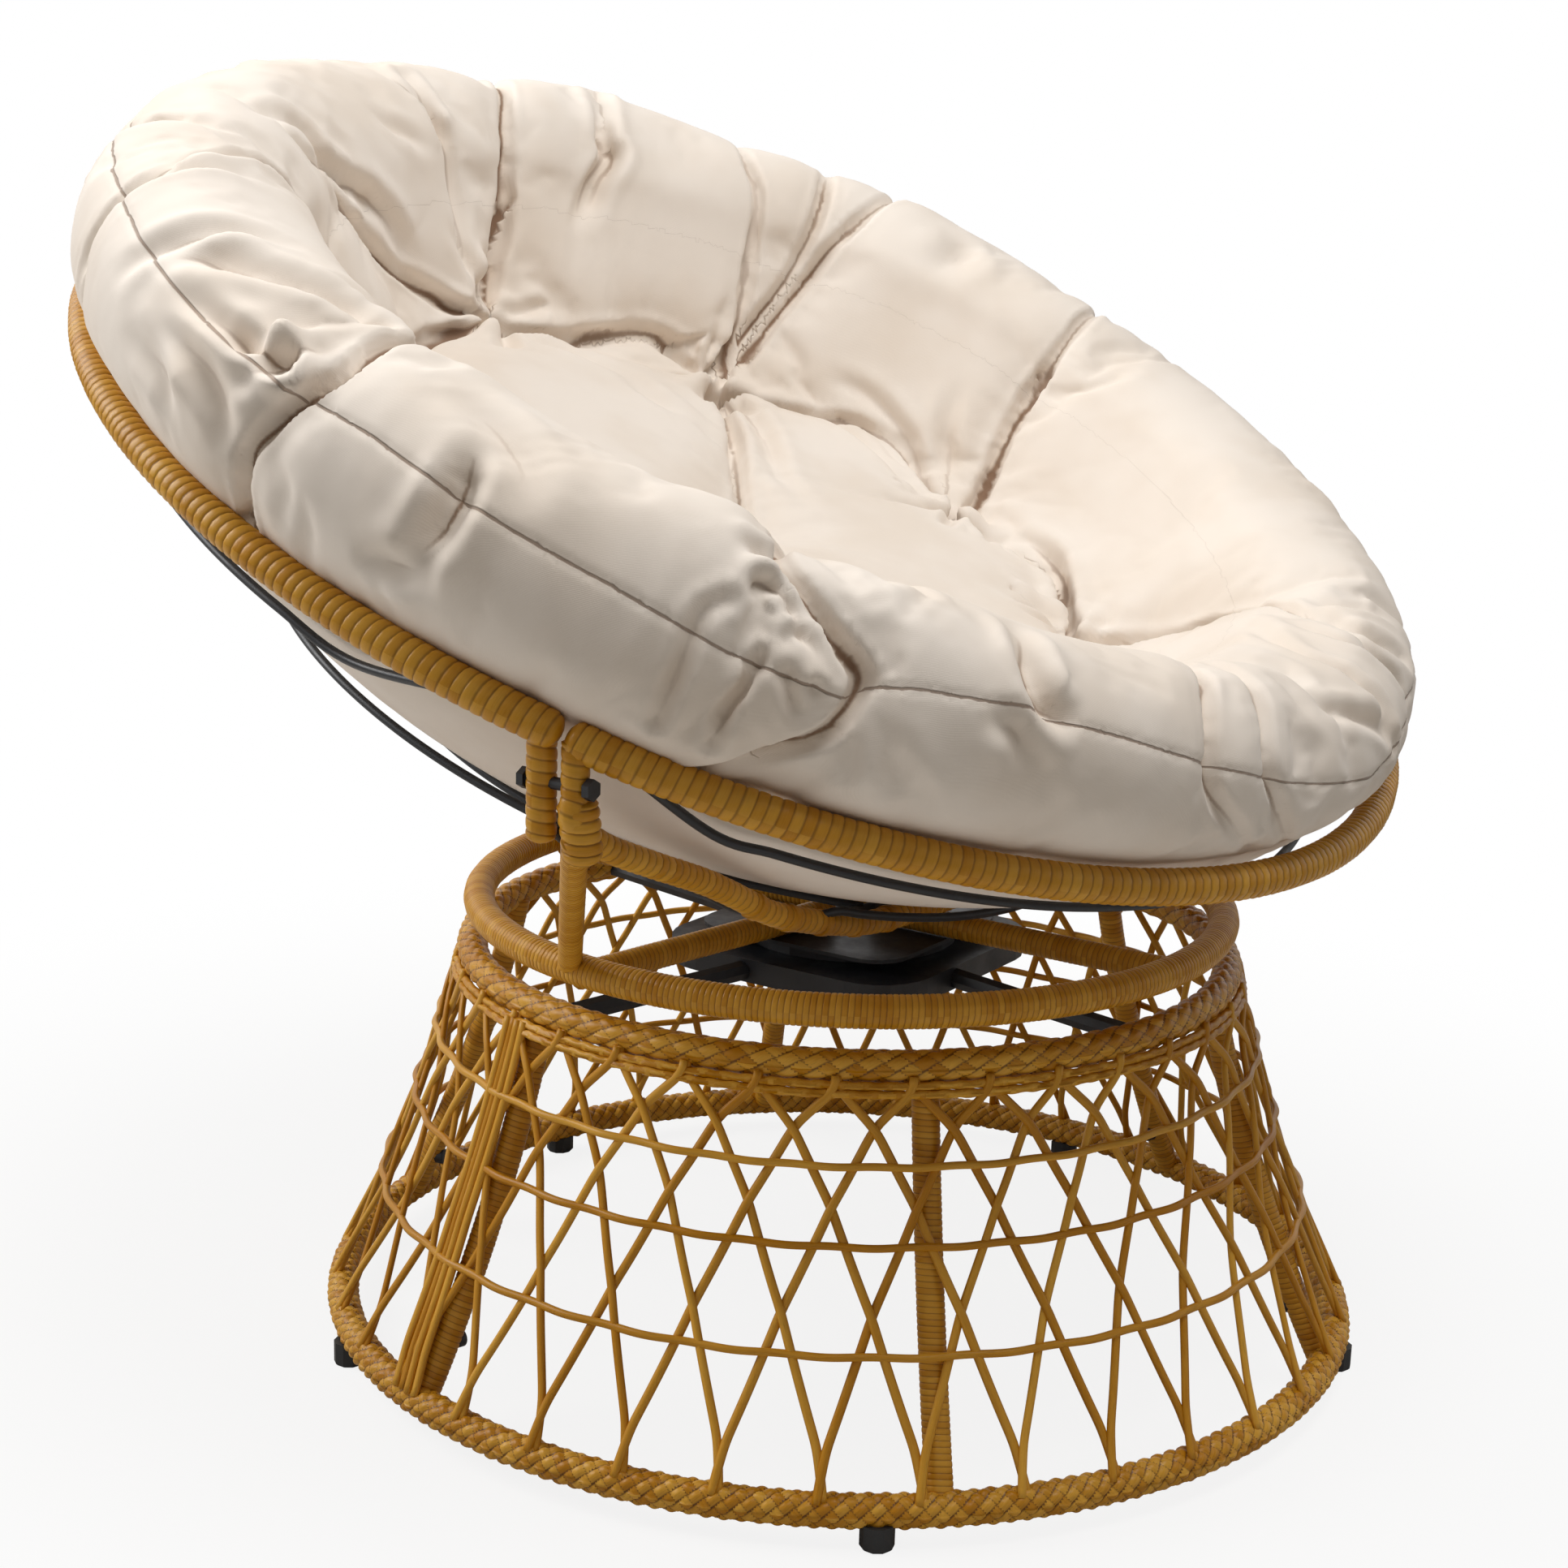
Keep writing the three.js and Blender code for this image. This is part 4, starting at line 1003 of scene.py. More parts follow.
class PAPASAN_OT_hoop(Operator):
    """Wrap both halves of the bowl's hoop with cane"""

    bl_idname = "papasan.hoop"
    bl_label = "Wrapped hoop"

    def execute(self, context):
        pitch = context.scene.papasan_cane.hoop_pitch
        gap = math.degrees(HOOP_END_GAP / HOOP_RADIUS)
        halves = (("hoop_front", -HOOP_SPLIT, HOOP_SPLIT), ("hoop_rear", HOOP_SPLIT, 360 - HOOP_SPLIT))
        for name, start, end in halves:
            turns = np.linspace(start + gap, end - gap, 360)
            path = Path(hoop_points(HOOP_RADIUS, turns, 0), HOOP_UP)
            add_wrapped(name, path, HOOP_TUBE, pitch, HOOP_GROOVE, round_ends=(0.009, 0.009),
                        seed=len(name))
        return {"FINISHED"}


# Cushion, with places given by distance from the hoop's axis and height over its plane

ROLL_MIDDLE = 460
ROLL_HEIGHT = 70
ROLL_RADIUS = 85
ROLL_SLACK = 6.5
ROLL_ANGLES = (172, 150, 120, 95, 70, 45, 20, -5, -24)
SEAT_SHAPE = ((0, -30), (90, -24), (180, -20), (250, -18), (293, -20), (330, 6), (375, 70))
RIM_SHAPE = ((510, 18), (499, 6), (486, -14))
UNDER_RADII = (460, 400, 320, 220, 110, 0)
UNDER_GAP = 4
ROD_ROOM = 5.5
FRONT_SAG = 45
FRONT_DRAW = 27
SAG_TURN = 25
# The draw fades in over these ways, out from the roll's middle and up from the hoop.
OUTER_FADE, RIM_FADE = 30, 20
CUSHION_SIDES = 240
FAR = 9.0

# Tufts as distance from the middle and turn from the front
TUFTS = ((315, 174), (277, 135), (245, 79), (276, 40), (285, -5), (285, -50), (285, -95), (285, -140))
# Short folds run out from each tuft: how many, how long, how deep, how bent and how wide they are, and their
# depth along the way
FOLD_COUNTS = (8, 11)
FOLD_LENGTHS = (34, 92)
FOLD_DEPTHS = (3.5, 6.5)
FOLD_BEND = 0.35
FOLD_WIDTH = 5.5
FOLD_SHAPE = ((0.08, 0.8), (0.3, 1), (0.62, 0.55), (1, 0))
FOLD_END = 374

# Each row is a crease: its width and the spots that it runs through. A spot gives its distance from the middle
# of the seat after s, or its angle round the roll's section after r, from 180 at the inside over 90 on the
# crest to 0 outside. Then come the turn from the front and the depth.
CREASES = """
20 s315,174,34 s344,171,26 r156,169,20 r120,168,18 r80,165,13 r40,163,8 r0,162,2
12 s277,135,34 s336,132,12 r146,134,7 r114,136,8 r80,137,2
12 s277,135,34 s344,130,16 r178,127,11 r144,126,11 r114,126,11 r86,126,3
13 s277,135,34 s344,128,20 r170,124,13 r132,121,11 r82,118,8 r40,117,5 r0,117,1
14 s245,79,34 s300,85,24 s350,89,15 r158,90,12 r110,91,9 r60,92,4 r20,92,1
16 s276,40,30 s330,37,20 r160,30,10 r118,21,9 r64,18,11 r34,20,10 r2,19,4
14 s285,-5,32 s340,-8,22 r150,-13,15 r100,-17,11 r60,-20,12 r34,-21,13 r10,-20,11 r-14,-16,5
12 r120,-10,2 r80,-12,8 r36,-14,11 r14,-13,11 r-14,-10,6
20 s285,-50,34 s340,-51,30 r160,-54,26 r110,-58,20 r76,-57,20 r46,-52,26 r30,-50,26 r0,-51,20 r-24,-54,15
16 s285,-95,34 s340,-95,28 r150,-95,20 r110,-94,14 r80,-93,15 r54,-92,17 r34,-93,18 r12,-94,17 r-6,-95,16 r-24,-95,13
18 s285,-140,34 s340,-140,24 r150,-138,16 r110,-134,12 r94,-131,11 r58,-126,9 r32,-125,7 r4,-125,2
20 s315,176,20 s350,-166,14 r164,-155,10 r128,-148,9 r94,-149,2
12 s350,179,6 r148,-180,9 r116,-178,9 r84,-177,1
10 s368,159,1 r168,158,7 r136,155,8 r108,155,2
14 s315,174,26 s304,164,14 s312,155,12 s320,144,12 s277,135,26
14 s277,135,26 s288,123,12 s304,110,10 s300,99,10 s245,79,26
14 s245,79,26 s272,68,13 s284,56,13 s276,40,24
14 s276,40,24 s300,18,12 s285,-5,24
14 s285,-5,24 s300,-28,12 s285,-50,24
14 s285,-50,24 s300,-72,12 s285,-95,24
14 s285,-95,24 s300,-118,12 s285,-140,24
14 s285,-140,24 s305,-163,12 s315,174,24
14 s277,135,26 s240,133,13 s168,132,9 s60,132,12 s2,132,18
"""
# Folds with no tuft are the same kind of lines as the creases, but shallow.
WRINKLES = """
8 r94,-146,0 r118,-152,6 r146,-154,8 s376,-165,7 s344,-171,0
7 r122,-168,0 r138,-172,5 r154,-176,0
7 r94,-180,4 r132,-179,9 r148,-180,0
9 r176,170,0 s352,172,6 s328,177,8
8 r78,153,6 r128,155,9 r138,154,10 r158,156,8 r176,157,4 s368,159,0
10 r32,-112,0 r52,-110,8 r68,-106,9 r90,-101,9 r100,-97,7
9 r10,-115,0 r46,-113,7 r70,-112,7 r106,-110,0
8 r28,-125,0 r54,-124,6 r80,-125,6 r108,-127,0
9 r14,-141,3 r44,-140,6 r90,-136,0
7 r34,-108,0 r36,-104,5 r40,-96,12
7 r40,-96,12 r58,-95,5 r76,-95,0
7 r40,-96,12 r26,-97,4 r14,-99,0
9 r14,-109,0 r18,-102,6 r6,-98,5 r-14,-97,0
9 r2,-111,0 r0,-105,6 r-16,-102,0
10 r60,-80,0 r34,-79,12 r12,-79,11 r-8,-80,0
9 r-16,-84,0 r-12,-81,6 r-8,-79,3
13 r78,-85,0 r72,-80,6 r52,-76,5 r30,-76,0
5 r40,-61,3 r30,-62,5 r4,-62,6 r-22,-62,5
5 r22,-57,5 r-4,-58,7 r-22,-58,5
7 r66,-62,0 r72,-59,7 r62,-56,0
6 r44,-59,0 r54,-59,7 r54,-56,6 r46,-54,0
6 r40,-57,0 r48,-56,7 r38,-54,0
5 r30,-56,0 r40,-55,6 r32,-53,0
5 r20,-55,4 r10,-54,5 r2,-53,0
5 r18,-53,4 r6,-52,0
9 r112,-37,0 r62,-38,12 r42,-37,11 r38,-34,0
8 r30,-42,0 r26,-39,6 r8,-38,0
9 r14,-48,0 r-6,-46,5 r-22,-45,0
8 s368,29,0 r130,9,5 r70,7,9 r36,8,4
7 r140,18,0 r102,15,8 r48,17,5
7 r130,25,0 r96,21,7 r42,24,4
7 r62,-5,0 r48,2,6 r18,9,3
7 r134,30,0 r104,27,5 r44,32,0
8 s288,74,0 s296,63,9 s276,45,14
9 s256,82,10 s248,72,5 s248,62,0
8 s282,135,10 s176,132,5 s64,144,0
8 s282,133,10 s208,126,6 s120,116,4 s72,83,0
8 s282,133,10 s288,115,6 s248,95,3
8 s250,80,10 s304,98,6 s328,109,4 s328,118,0
8 s250,80,10 s328,96,5 s360,99,0
8 s250,80,10 s200,80,6 s176,89,0
9 s310,176,10 s264,166,5 s200,152,0
8 s310,176,10 s304,163,5 s312,146,3 s304,136,4
11 s224,160,0 s190,157,6 s165,150,0
14 r150,110,0 r120,108,5 r96,109,0
10 r60,60,0 r40,58,6 r6,57,0
10 r66,118,0 r36,115,7 r4,114,0
10 r58,148,0 r30,146,7 r0,146,0
10 r66,-160,0 r36,-163,7 r0,-165,0
"""
# The seam round the roll's outer side, as turn and angle round the roll's section
SIDE_SEAM = (
    (-95, 32), (-86, 34), (-79, 30), (-68, 26), (-60, 20), (-50.4, 18), (-49.6, 28), (-46, 34), (-40, 38),
    (-31, 36), (-21, 28), (-11, 18), (2, 8), (20, 20), (39.5, 28), (55, 34), (79, 26), (95, 34), (115, 34),
    (134.5, 27), (150, 34), (173.5, 28), (190, 34), (205, 34), (219.5, 30), (240, 35), (265, 32),
)

# Before the cloth is inflated a crease has a sharp part and a soft part, each given by its share of the depth
# and its reach as a share of the width.
SHARP_SHARE, SHARP_REACH = 0.62, 0.4
SOFT_SHARE, SOFT_REACH = 0.3, 1.4
CREASE_FLOOR = 2
HELD_DEPTH, HELD_REACH = 20, 5
# The underside lies in the bowl and is held from this far under the hoop's plane, fading in, both in metres.
UNDER_START, UNDER_FADE = 0.012, 0.02
# Afterwards it gets a groove of at most this depth and these widths, with a swelling on both sides.
GROOVE_SHARE, GROOVE_DEPTH, GROOVE_WIDTH = 0.45, 6, 5
SWELL_SHARE, SWELL_PLACE, SWELL_WIDTH = 0.45, 9, 4
FOLD_SHARE, FOLD_SWELL = 1.3, 0.4
DEEPEST = 12
LINE_REACH = 0.06
# The surface is evened near the creases, before the folds are added and after.
CREASE_SMOOTH, SMOOTH_REACH = 0.7, 8
# The material paints a shadow line along a crease: how near it a vertex is, how far aside and how far the line
# reaches, in metres, and from what depth it starts and over what depth it grows
DARK_NEAR, DARK_ASIDE, DARK_REACH = 0.014, 0.009, 0.0055
DARK_START, DARK_RANGE = 4.5, 9
SEAM_DEPTH, SEAM_WIDTH = 1.6, 2.6
SEAM_REACH = 30
# The roll's creasing in broad and fine waves, and its waves along the seam: height and wave lengths, which run
# along the roll, across it and upwards
BROAD_HEIGHT, BROAD_WAVES = 3.4, (48, 150, 400)
FINE_HEIGHT, FINE_WAVES = 1.0, (19, 75, 300)
SEAM_SWAY, SEAM_WAVES = 1.1, (22, 70, 1)
# How far from the seam these last: the seam's own waves, and the others, which are strongest at the seam
SWAY_REACH, WAVE_REACH = 18, 80
ROUND_ROLL = 8  # millimetres of one degree round the roll


def read_lines(table):
    """Each row of a table as its spots and its width."""
    lines = []
    for row in table.strip().splitlines():
        width, *spots = row.split()
        lines.append(([(spot[0], *map(float, spot[1:].split(","))) for spot in spots], float(width)))
    return lines


def bell(distance, middle, width):
    return np.exp(-((distance - middle) / width) ** 2)


def under_height(radius):
    """The bowl's inner face as height under the hoop's plane."""
    return BOWL_RADIUS - BOWL_DEPTH - np.sqrt((BOWL_RADIUS - ROD_ROOM) ** 2 - np.square(radius))


def front_share(turns):
    """1 where the roll is lowest, 0 at the sides and the back."""
    return np.clip(np.cos(np.radians(turns - SAG_TURN)), 0, 1) ** 1.5


def sunk(sag):
    """Height of the roll there, as a share of its full height."""
    return 1 - sag * FRONT_SAG / (ROLL_HEIGHT + ROLL_RADIUS)


def outer_share(r, h):
    """1 on the roll's outer side, falling to 0 at its middle and at the hoop."""
    return np.clip((r - ROLL_MIDDLE) / OUTER_FADE, 0, 1) * np.clip((h + HOOP_TUBE) / RIM_FADE, 0, 1)


def on_cushion(r, h, turns):
    """Places on the cushion in metres. The front of the roll is lower than the rest, and drawn in."""
    r, h, turns = (np.asarray(values, float) for values in (r, h, turns))
    sag = front_share(turns)
    h = np.where(h > 0, h * sunk(sag), h)
    return metres(hoop_points(r - outer_share(r, h) * FRONT_DRAW * sag, turns, h))


def off_cushion(places):
    """Turns, distance from the hoop's axis and height over its plane, with the sag of the front undone."""
    x, y, z = ((places - metres(HOOP_CENTRE)) / MM).T
    along = y * math.cos(HOOP_TILT) + z * math.sin(HOOP_TILT)
    h = z * math.cos(HOOP_TILT) - y * math.sin(HOOP_TILT)
    turns = np.degrees(np.arctan2(x, -along))
    r = np.hypot(x, along)
    sag = front_share(turns)
    r = r + outer_share(r + FRONT_DRAW * sag, h) * FRONT_DRAW * sag
    return turns, r, np.where(h > 0, h / sunk(sag), h)


def roll_section(angle):
    reach = ROLL_RADIUS - ROLL_SLACK
    return (ROLL_MIDDLE + reach * np.cos(np.radians(angle)), ROLL_HEIGHT + reach * np.sin(np.radians(angle)))


def cushion_spot(kind, value, turn, _):
    """A spot of the cushion's face before it is inflated."""
    if kind == "s":
        return on_cushion(value, np.interp(value, *zip(*SEAT_SHAPE)), turn)
    return on_cushion(*roll_section(value), turn)


def cushion_profile():
    """Half of the cushion's section from the middle of the seat out over the roll and back under it."""
    roll = [roll_section(angle) for angle in ROLL_ANGLES]
    under = [(r, float(under_height(r)) + UNDER_GAP) for r in UNDER_RADII]
    return smooth_line([*SEAT_SHAPE[:-1], *roll, *RIM_SHAPE, *under], 8)


def crease_lines(rows):
    """Each crease as points in metres, its depth at each of them and its width."""
    for spots, width in rows:
        points = np.array([cushion_spot(*spot) for spot in spots])
        line = smooth_line(np.column_stack([points, [spot[3] * MM for spot in spots]]), 6)
        yield line[:, :3], line[:, 3], width * MM


def nearest_on_line(places, normals, line, values, reach=0.12):
    """Distance from each place to a line, the line's values at the nearest point, and how far aside of it the
    place is, which is below zero on one side."""
    distance, found, aside = (np.full(len(places), value) for value in (FAR, 0.0, FAR))
    near = np.where(((places > line.min(0) - reach) & (places < line.max(0) + reach)).all(1))[0]
    chosen = places[near]
    squared, value_there = np.full(len(near), FAR ** 2), np.zeros(len(near))
    away, way = np.zeros((len(near), 3)), np.ones((len(near), 3))
    for start, end, first, last in zip(line, line[1:], values, values[1:]):
        step = end - start
        share = np.clip((chosen - start) @ step / max(step @ step, 1e-12), 0, 1)
        off = chosen - start - share[:, None] * step
        size = np.einsum("ij,ij->i", off, off)
        closer = size < squared
        squared[closer] = size[closer]
        value_there[closer] = (first + (last - first) * share)[closer]
        away[closer] = off[closer]
        way[closer] = step / np.linalg.norm(step)
    distance[near], found[near] = np.sqrt(squared), value_there
    aside[near] = np.einsum("ij,ij->i", np.cross(away, way), normals[near])
    return distance, found, aside


def evened(mesh, values, rounds):
    """Values of the vertices, each round mixed with those of their neighbours."""
    one, other = read_all(mesh.edges, "vertices", 2, np.int32).T
    count = (np.bincount(one, minlength=len(values)) + np.bincount(other, minlength=len(values))).clip(1)
    rows = values.reshape(len(values), -1).T
    for _ in range(rounds):
        rows = np.array([0.5 * row + 0.5 * (np.bincount(one, row[other], len(row))
                                            + np.bincount(other, row[one], len(row))) / count
                         for row in rows])
    return rows.T.reshape(values.shape)


def tuft_folds(rng):
    """Short folds that run out from each tuft like a fan."""
    for reach, turn in TUFTS:
        count = rng.integers(*FOLD_COUNTS)
        first = rng.uniform(0, 360)
        for k in range(count):
            way = math.radians(first + 360 * (k + rng.uniform(-0.3, 0.3)) / count)
            length = rng.uniform(*FOLD_LENGTHS)
            bend = rng.uniform(-FOLD_BEND, FOLD_BEND)
            spots = []
            for share, depth in FOLD_SHAPE:
                out = share * length * math.cos(way + bend * share)
                aside = share * length * math.sin(way + bend * share)
                spots.append(("s", min(reach + out, FOLD_END), turn + math.degrees(aside / reach),
                              depth * rng.uniform(*FOLD_DEPTHS)))
            yield spots, FOLD_WIDTH


def seam_distance(places):
    """Millimetres from the seam round the roll's outer side, and the turns."""
    turns, r, h = off_cushion(places)
    angle = np.degrees(np.arctan2(h - ROLL_HEIGHT, r - ROLL_MIDDLE))
    first = SIDE_SEAM[0][0]
    seam = np.interp(np.mod(turns - first, 360) + first, *zip(*SIDE_SEAM))
    return np.radians(angle - seam) * (ROLL_RADIUS - ROLL_SLACK), turns


def noise_along(places, waves, seed):
    """Smooth noise between -1 and 1. waves is the length of a wave in each of the three directions."""
    stretched = places / np.asarray(waves) + seed
    return np.array([noise.noise(place) for place in stretched.tolist()])


def modified(mesh, kind, **settings):
    """The mesh as a modifier leaves it."""
    holder = linked("pad", mesh)
    modifier = holder.modifiers.new(kind, kind)
    for name, value in settings.items():
        setattr(modifier, name, value)
    graph = bpy.context.evaluated_depsgraph_get()
    made = bpy.data.meshes.new_from_object(holder.evaluated_get(graph))
    bpy.data.objects.remove(holder)
    bpy.data.meshes.remove(mesh)
    return made


def remeshed(mesh, size):
    """The same form with even faces, by a voxel remesh."""
    even = modified(mesh, "REMESH", mode="VOXEL", voxel_size=size)
    shape = bmesh.new()
    shape.from_mesh(even)
    for _ in range(3):
        bmesh.ops.smooth_vert(shape, verts=shape.verts, factor=0.5, use_axis_x=True, use_axis_y=True,
                              use_axis_z=True)
    shape.to_mesh(even)
    shape.free()
    return even


# Settings of the cloth simulation
CLOTH = {
    "quality": 5, "mass": 0.3, "tension_stiffness": 15, "compression_stiffness": 15, "shear_stiffness": 5,
    "bending_stiffness": 0.3, "air_damping": 2, "use_pressure": True, "vertex_group_mass": "held",
    "pin_stiffness": 1,
}
HELD_LEVELS = 20


def inflate(mesh, held, settings):
    """Blows the cloth up from inside and gives each vertex's new place. held is 1 where it can't move."""
    scene = bpy.context.scene
    holder = linked("pad", mesh)
    group = holder.vertex_groups.new(name="held")
    levels = np.rint(np.clip(held, 0, 1) * HELD_LEVELS).astype(int)
    for level in range(1, HELD_LEVELS + 1):
        group.add(np.where(levels == level)[0].tolist(), level / HELD_LEVELS, "REPLACE")
    cloth = holder.modifiers.new("Cloth", "CLOTH")
    for name, value in CLOTH.items():
        setattr(cloth.settings, name, value)
    cloth.settings.shrink_min = -settings.slack
    cloth.settings.uniform_pressure_force = settings.pressure
    cloth.settings.effector_weights.gravity = 0
    cloth.collision_settings.use_collision = False
    cloth.collision_settings.use_self_collision = False
    cloth.point_cache.frame_start = 1
    cloth.point_cache.frame_end = settings.frames
    for frame_number in range(1, settings.frames + 1):
        scene.frame_set(frame_number)
    graph = bpy.context.evaluated_depsgraph_get()
    blown = mesh_places(holder.evaluated_get(graph).data)
    scene.frame_set(1)
    bpy.data.objects.remove(holder)
    return blown


def store(mesh, name, values):
    """Keeps a number or a vector for each vertex as an attribute."""
    kind, field = ("FLOAT_VECTOR", "vector") if values.ndim == 2 else ("FLOAT", "value")
    attribute = mesh.attributes.new(name, kind, "POINT")
    attribute.data.foreach_set(field, values.astype(np.float32).ravel())


def soften(mesh, places, share, rounds):
    """Moves the vertices to places, with a share of them evened out."""
    set_places(mesh, places + share[:, None] * (evened(mesh, places, rounds) - places))


class PAPASAN_OT_cushion(Operator):
    """Model the cushion, inflate its cloth and sew its seams"""

    bl_idname = "papasan.cushion"
    bl_label = "Tufted cushion"

    def execute(self, context):
        settings = context.scene.papasan_cushion
        profile = cushion_profile()
        mesh, row, side = grid_arrays(len(profile) - 1, CUSHION_SIDES)
        set_places(mesh, on_cushion(profile[row, 0], profile[row, 1], side / CUSHION_SIDES * 360))
        close_up(mesh, 1e-5)
        mesh = remeshed(mesh, settings.mesh_size)
        rest = mesh_places(mesh)
        inward = -mesh_normals(mesh)
        lines = list(crease_lines(read_lines(CREASES)))
        depth, held = self.crease_depths(rest, inward, lines)
        start = rest + inward * evened(mesh, depth, 1)[:, None]
        set_places(mesh, start)
        moved = inflate(mesh, held, settings) - start
        far = np.linalg.norm(moved, axis=1)
        limit = settings.fold_limit
        moved *= (limit * np.tanh(far / limit) / np.maximum(far, 1e-9))[:, None]
        start = start + moved
        soften(mesh, start, np.clip(depth / (DEEPEST * MM), 0, 1) * CREASE_SMOOTH, 2)
        store(mesh, "rest", rest)
        mesh = modified(mesh, "SUBSURF", levels=1, render_levels=1)
        mesh.shade_smooth()
        self.add_folds(mesh, lines)
        piece = add_piece("tufted_cushion", mesh, BOWL, "cloth", "seat_cushion")
        return {"FINISHED"}

    def crease_depths(self, rest, inward, lines):
        """How far the creases pull each vertex in, and how far it is held in the simulation."""
        depth, held = np.zeros(len(rest)), np.zeros(len(rest))
        for line, depths, width in lines:
            distance, deep, _ = nearest_on_line(rest, -inward, line, depths)
            rounded = np.sqrt(distance ** 2 + (CREASE_FLOOR * MM) ** 2) - CREASE_FLOOR * MM
            sharp = SHARP_SHARE * np.exp(-rounded / (SHARP_REACH * width))
            depth = np.maximum(depth, deep * (sharp + SOFT_SHARE * bell(distance, 0, SOFT_REACH * width)))
            strength = np.clip(deep / (HELD_DEPTH * MM), 0, 1)
            held = np.maximum(held, strength * np.clip(1.3 - distance / (HELD_REACH * MM), 0, 1))
        height = (rest - metres(hoop_points(0, 0, 0))) @ np.array(HOOP_UP)
        under = np.clip((-height - UNDER_START) / UNDER_FADE, 0, 1) * (inward[:, 2] > 0)
        return depth, np.maximum(held, under)

    def add_folds(self, mesh, lines):
        """Sharpens the creases, and adds the fine folds and the seam."""
        rest = read_all(mesh.attributes["rest"].data, "vector", 3, np.float32).astype(float)
        mesh.attributes.remove(mesh.attributes["rest"])
        normals = mesh_normals(mesh)
        small = crease_lines((*read_lines(WRINKLES), *tuft_folds(np.random.default_rng(5))))
        depth, crease_shadow_strength, nearest, from_crease, line_side = (
            np.full(len(rest), value) for value in (0.0, 0.0, DARK_NEAR, 0.1, FAR))
        for k, (line, depths, width) in enumerate((*lines, *small)):
            distance, deep, aside = nearest_on_line(rest, normals, line, depths, LINE_REACH)
            if k < len(lines):
                from_crease = np.minimum(from_crease, distance)
                swell = SWELL_SHARE * bell(np.abs(aside), SWELL_PLACE * MM, SWELL_WIDTH * MM)
                cut = np.minimum(GROOVE_SHARE * deep, GROOVE_DEPTH * MM) * (
                    bell(aside, 0, GROOVE_WIDTH * MM) - swell)
            else:
                swell = FOLD_SWELL * bell(distance, 2 * width, width)
                cut = FOLD_SHARE * deep * (bell(distance, 0, width) - swell)
            depth += np.where(distance < LINE_REACH, cut, 0)
            # The nearest crease's painted shadow line: where it lies and how strong it is.
            closer = (distance < nearest) & (deep > 0.5 * MM) & (np.abs(aside) < DARK_ASIDE)
            nearest = np.where(closer, distance, nearest)
            line_side = np.where(closer, aside / MM, line_side)
            growing = np.clip((deep - DARK_START * MM) / (DARK_RANGE * MM), 0, 1)
            fading = np.clip(1 - (aside / DARK_REACH) ** 2, 0, 1)
            crease_shadow_strength = np.where(closer, growing * fading, crease_shadow_strength)
        depth = evened(mesh, np.minimum(depth, DEEPEST * MM), 1)
        seam, turns = seam_distance(rest)
        round_roll = turns * ROUND_ROLL
        sway = noise_along(np.stack([round_roll, seam, 0 * seam], -1), SEAM_WAVES, 3)
        sway = SEAM_SWAY * sway * np.exp(-np.abs(seam) / SWAY_REACH)
        depth += (SEAM_DEPTH * bell(seam, 0, SEAM_WIDTH) + sway) * MM
        stretched = np.stack([round_roll, seam, rest[:, 2] / MM], -1)
        broad = BROAD_HEIGHT * (np.abs(noise_along(stretched, BROAD_WAVES, 11)) - 0.25)
        fine = FINE_HEIGHT * noise_along(stretched, FINE_WAVES, 17)
        depth += np.clip(1.25 - np.abs(seam) / WAVE_REACH, 0.12, 1) * (broad + fine) * MM
        places = mesh_places(mesh) - normals * depth[:, None]
        soften(mesh, places, np.clip(1.4 - from_crease / (SMOOTH_REACH * MM), 0, 1), 4)
        # The material draws the painted shadow lines of the creases and the seam from these.
        store(mesh, "crease_side", line_side)
        store(mesh, "crease_depth", crease_shadow_strength)
        store(mesh, "seam_side", np.clip(seam, -SEAM_REACH, SEAM_REACH))


# Stage


def add_lamp(name, place, size, power):
    lamp = bpy.data.lights.new(name, "AREA")
    lamp.shape = "DISK"
    lamp.size = size
    lamp.energy = power
    holder = linked(name, lamp)
    holder.location = place
    holder.rotation_euler = (Vector(LAMP_TARGET) - Vector(place)).to_track_quat("-Z", "Y").to_euler()


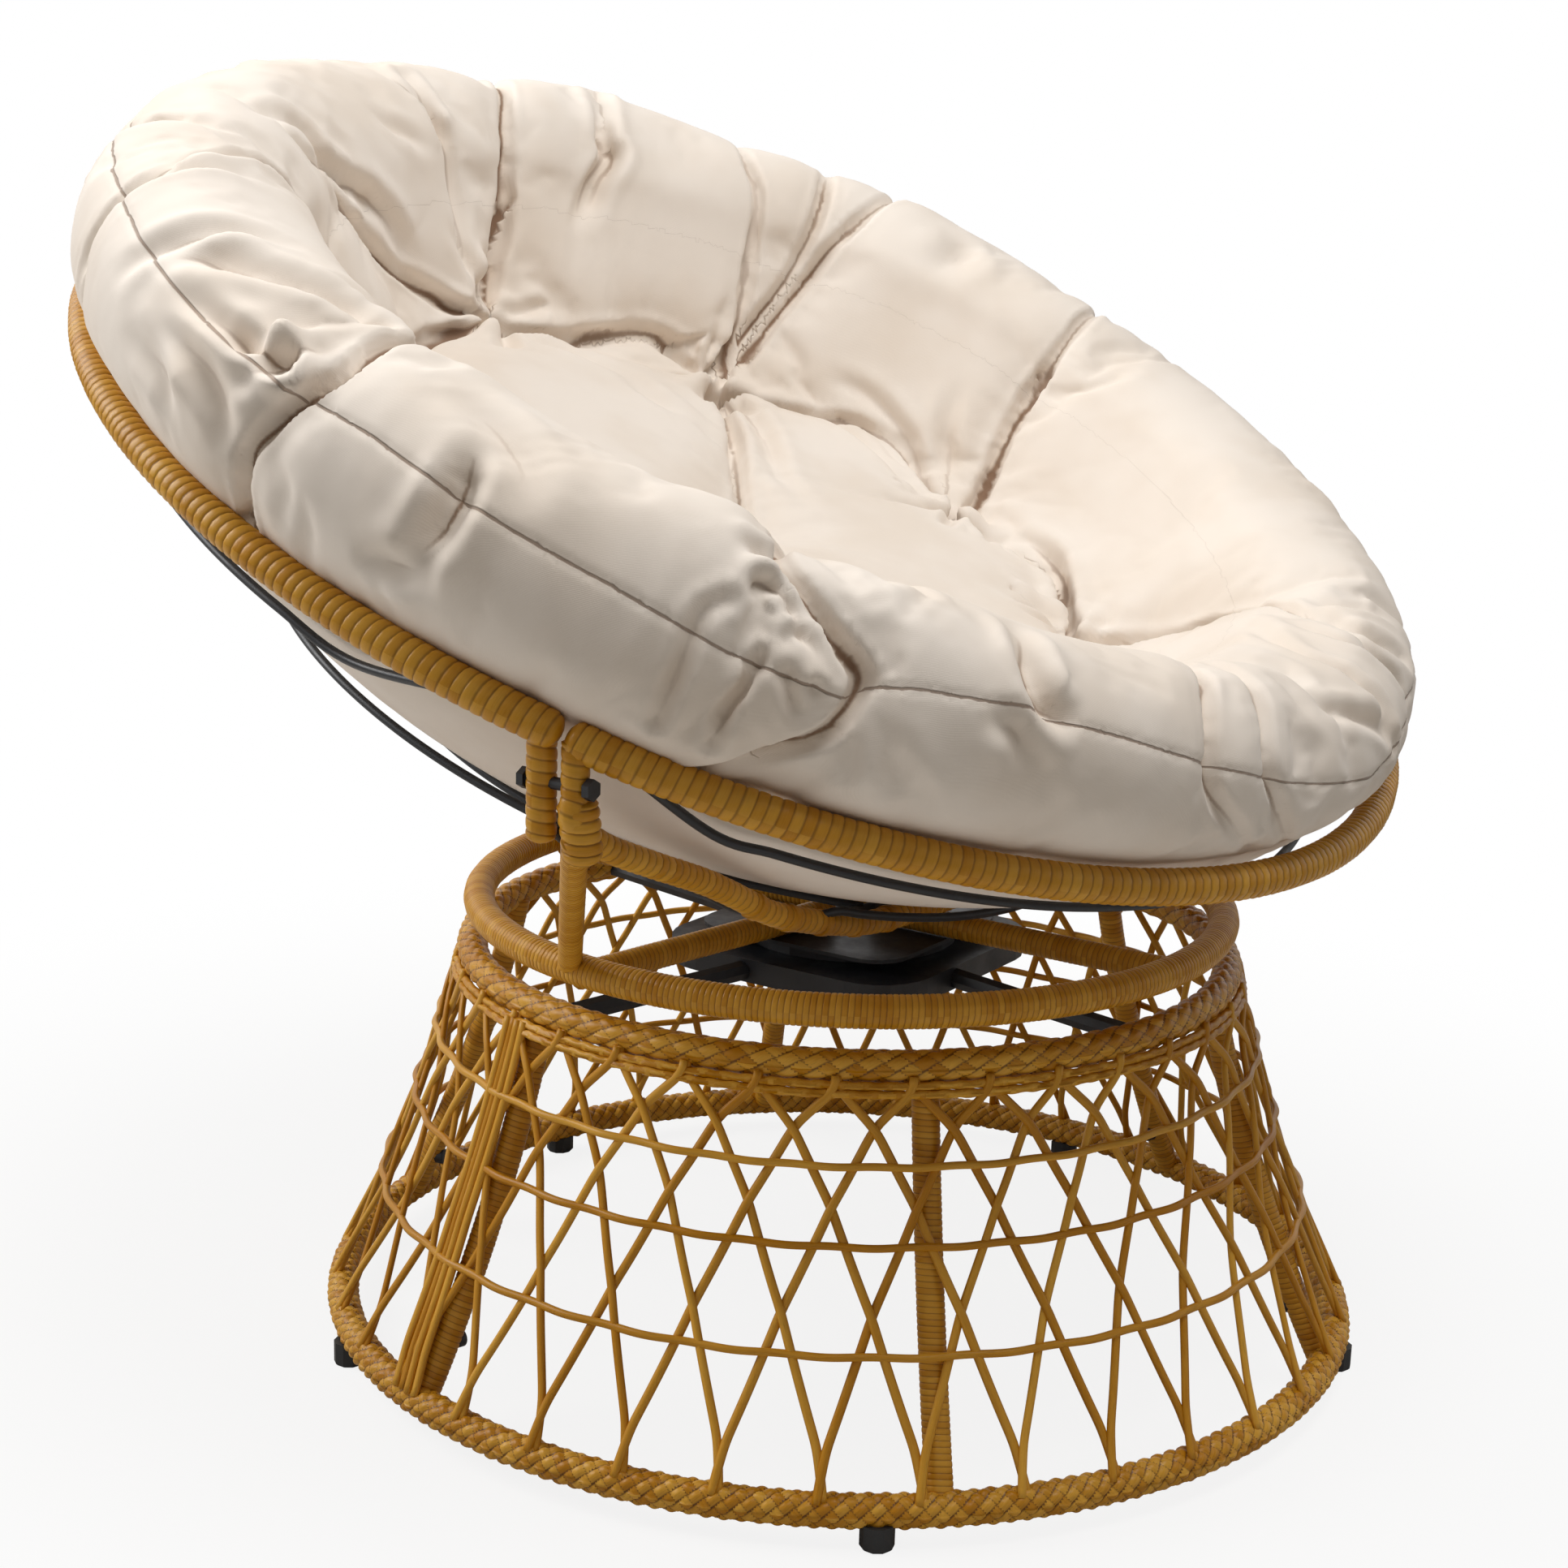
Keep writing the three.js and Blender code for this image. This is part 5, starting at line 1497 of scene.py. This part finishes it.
class PAPASAN_OT_stage(Operator):
    """Set up the floor, the lamps and the camera"""

    bl_idname = "papasan.stage"
    bl_label = "Floor, lamps and camera"

    def execute(self, context):
        scene = context.scene
        stage = scene.papasan_stage
        self.add_floor(stage)
        self.add_sky(scene, stage.sky)
        for name, place, size, power in LAMPS:
            add_lamp(name, place, size, getattr(stage, power))
        lens = bpy.data.cameras.new("camera")
        lens.lens = stage.lens
        lens.sensor_width = 36
        lens.sensor_fit = "AUTO"
        camera = linked("camera", lens)
        turned = Matrix.Identity(4)
        for angle, axis in CAMERA_TURNS:
            turned = turned @ Matrix.Rotation(math.radians(angle), 4, axis)
        camera.matrix_world = Matrix.Translation(CAMERA_PLACE) @ turned
        scene.camera = camera
        scene.view_settings.view_transform = "Standard"
        return {"FINISHED"}

    def add_floor(self, stage):
        """A pale floor that fades into the backdrop for the camera."""
        shape = bmesh.new()
        bmesh.ops.create_circle(shape, cap_ends=True, segments=96, radius=FLOOR_RADIUS)
        floor = linked("floor", mesh_of(shape))
        material, tree, shader, output = new_material("Pale floor")
        fill(tree, shader, {"Base Color": stage.floor, "Roughness": 0.9, "Specular IOR Level": 0.1})
        away = node(tree, "VectorMath", {0: object_place(tree)}, operation="LENGTH").outputs["Value"]
        rays = node(tree, "LightPath").outputs["Is Camera Ray"]
        white = node(tree, "Emission", {"Color": (1, 1, 1), "Strength": 1.0})
        share = maths(tree, "MULTIPLY", rays, remap(tree, away, *FLOOR_FADE))
        blend = node(tree, "MixShader", {0: share, 1: shader.outputs[0], 2: white.outputs[0]})
        fill(tree, output, {"Surface": blend.outputs[0]})
        floor.data.materials.append(material)

    def add_sky(self, scene, strength):
        """Even warm light on the chair. Rays that see the backdrop find it white."""
        scene.world = bpy.data.worlds.new("Studio")
        scene.world.use_nodes = True
        sky = scene.world.node_tree
        sky.nodes.clear()
        rays = node(sky, "LightPath").outputs
        seen = maths(sky, "MAXIMUM", rays["Is Camera Ray"],
                     maths(sky, "MAXIMUM", rays["Is Glossy Ray"], rays["Is Transmission Ray"]))
        light = node(sky, "Background", {
            "Color": mix_colour(sky, seen, SKY_TINT, (1, 1, 1)),
            "Strength": maths(sky, "ADD", strength, maths(sky, "MULTIPLY", seen, 1 - strength))})
        node(sky, "OutputWorld", {"Surface": light.outputs[0]})


class PAPASAN_PT_panel(Panel):
    """The chair's pieces and their settings"""

    bl_idname = "PAPASAN_PT_panel"
    bl_label = "Papasan Chair"
    bl_space_type = "VIEW_3D"
    bl_region_type = "UI"
    bl_category = "Papasan"

    def draw(self, context):
        layout = self.layout
        for operator in OPERATORS:
            layout.operator(operator.bl_idname, text=operator.bl_label)
        for title, settings in SETTINGS.items():
            box = layout.box()
            box.label(text=title.removeprefix("papasan_").capitalize())
            group = getattr(context.scene, title)
            for name in settings.__annotations__:
                box.prop(group, name)


SETTINGS = {
    "papasan_cane": CaneSettings,
    "papasan_steel": SteelSettings,
    "papasan_cushion": CushionSettings,
    "papasan_stage": StageSettings,
}
OPERATORS = (
    PAPASAN_OT_base_rings,
    PAPASAN_OT_legs,
    PAPASAN_OT_skirt,
    PAPASAN_OT_glides,
    PAPASAN_OT_steelwork,
    PAPASAN_OT_swivel_ring,
    PAPASAN_OT_spines,
    PAPASAN_OT_hoop,
    PAPASAN_OT_cushion,
    PAPASAN_OT_stage,
)
CLASSES = (*SETTINGS.values(), *OPERATORS, PAPASAN_PT_panel)


def register():
    for cls in CLASSES:
        bpy.utils.register_class(cls)
    for title, settings in SETTINGS.items():
        setattr(bpy.types.Scene, title, PointerProperty(type=settings))


def unregister():
    for title in SETTINGS:
        delattr(bpy.types.Scene, title)
    for cls in reversed(CLASSES):
        bpy.utils.unregister_class(cls)


def main():
    register()
    for operator in OPERATORS:
        group, name = operator.bl_idname.split(".")
        getattr(getattr(bpy.ops, group), name)()


if __name__ == "__main__":
    main()
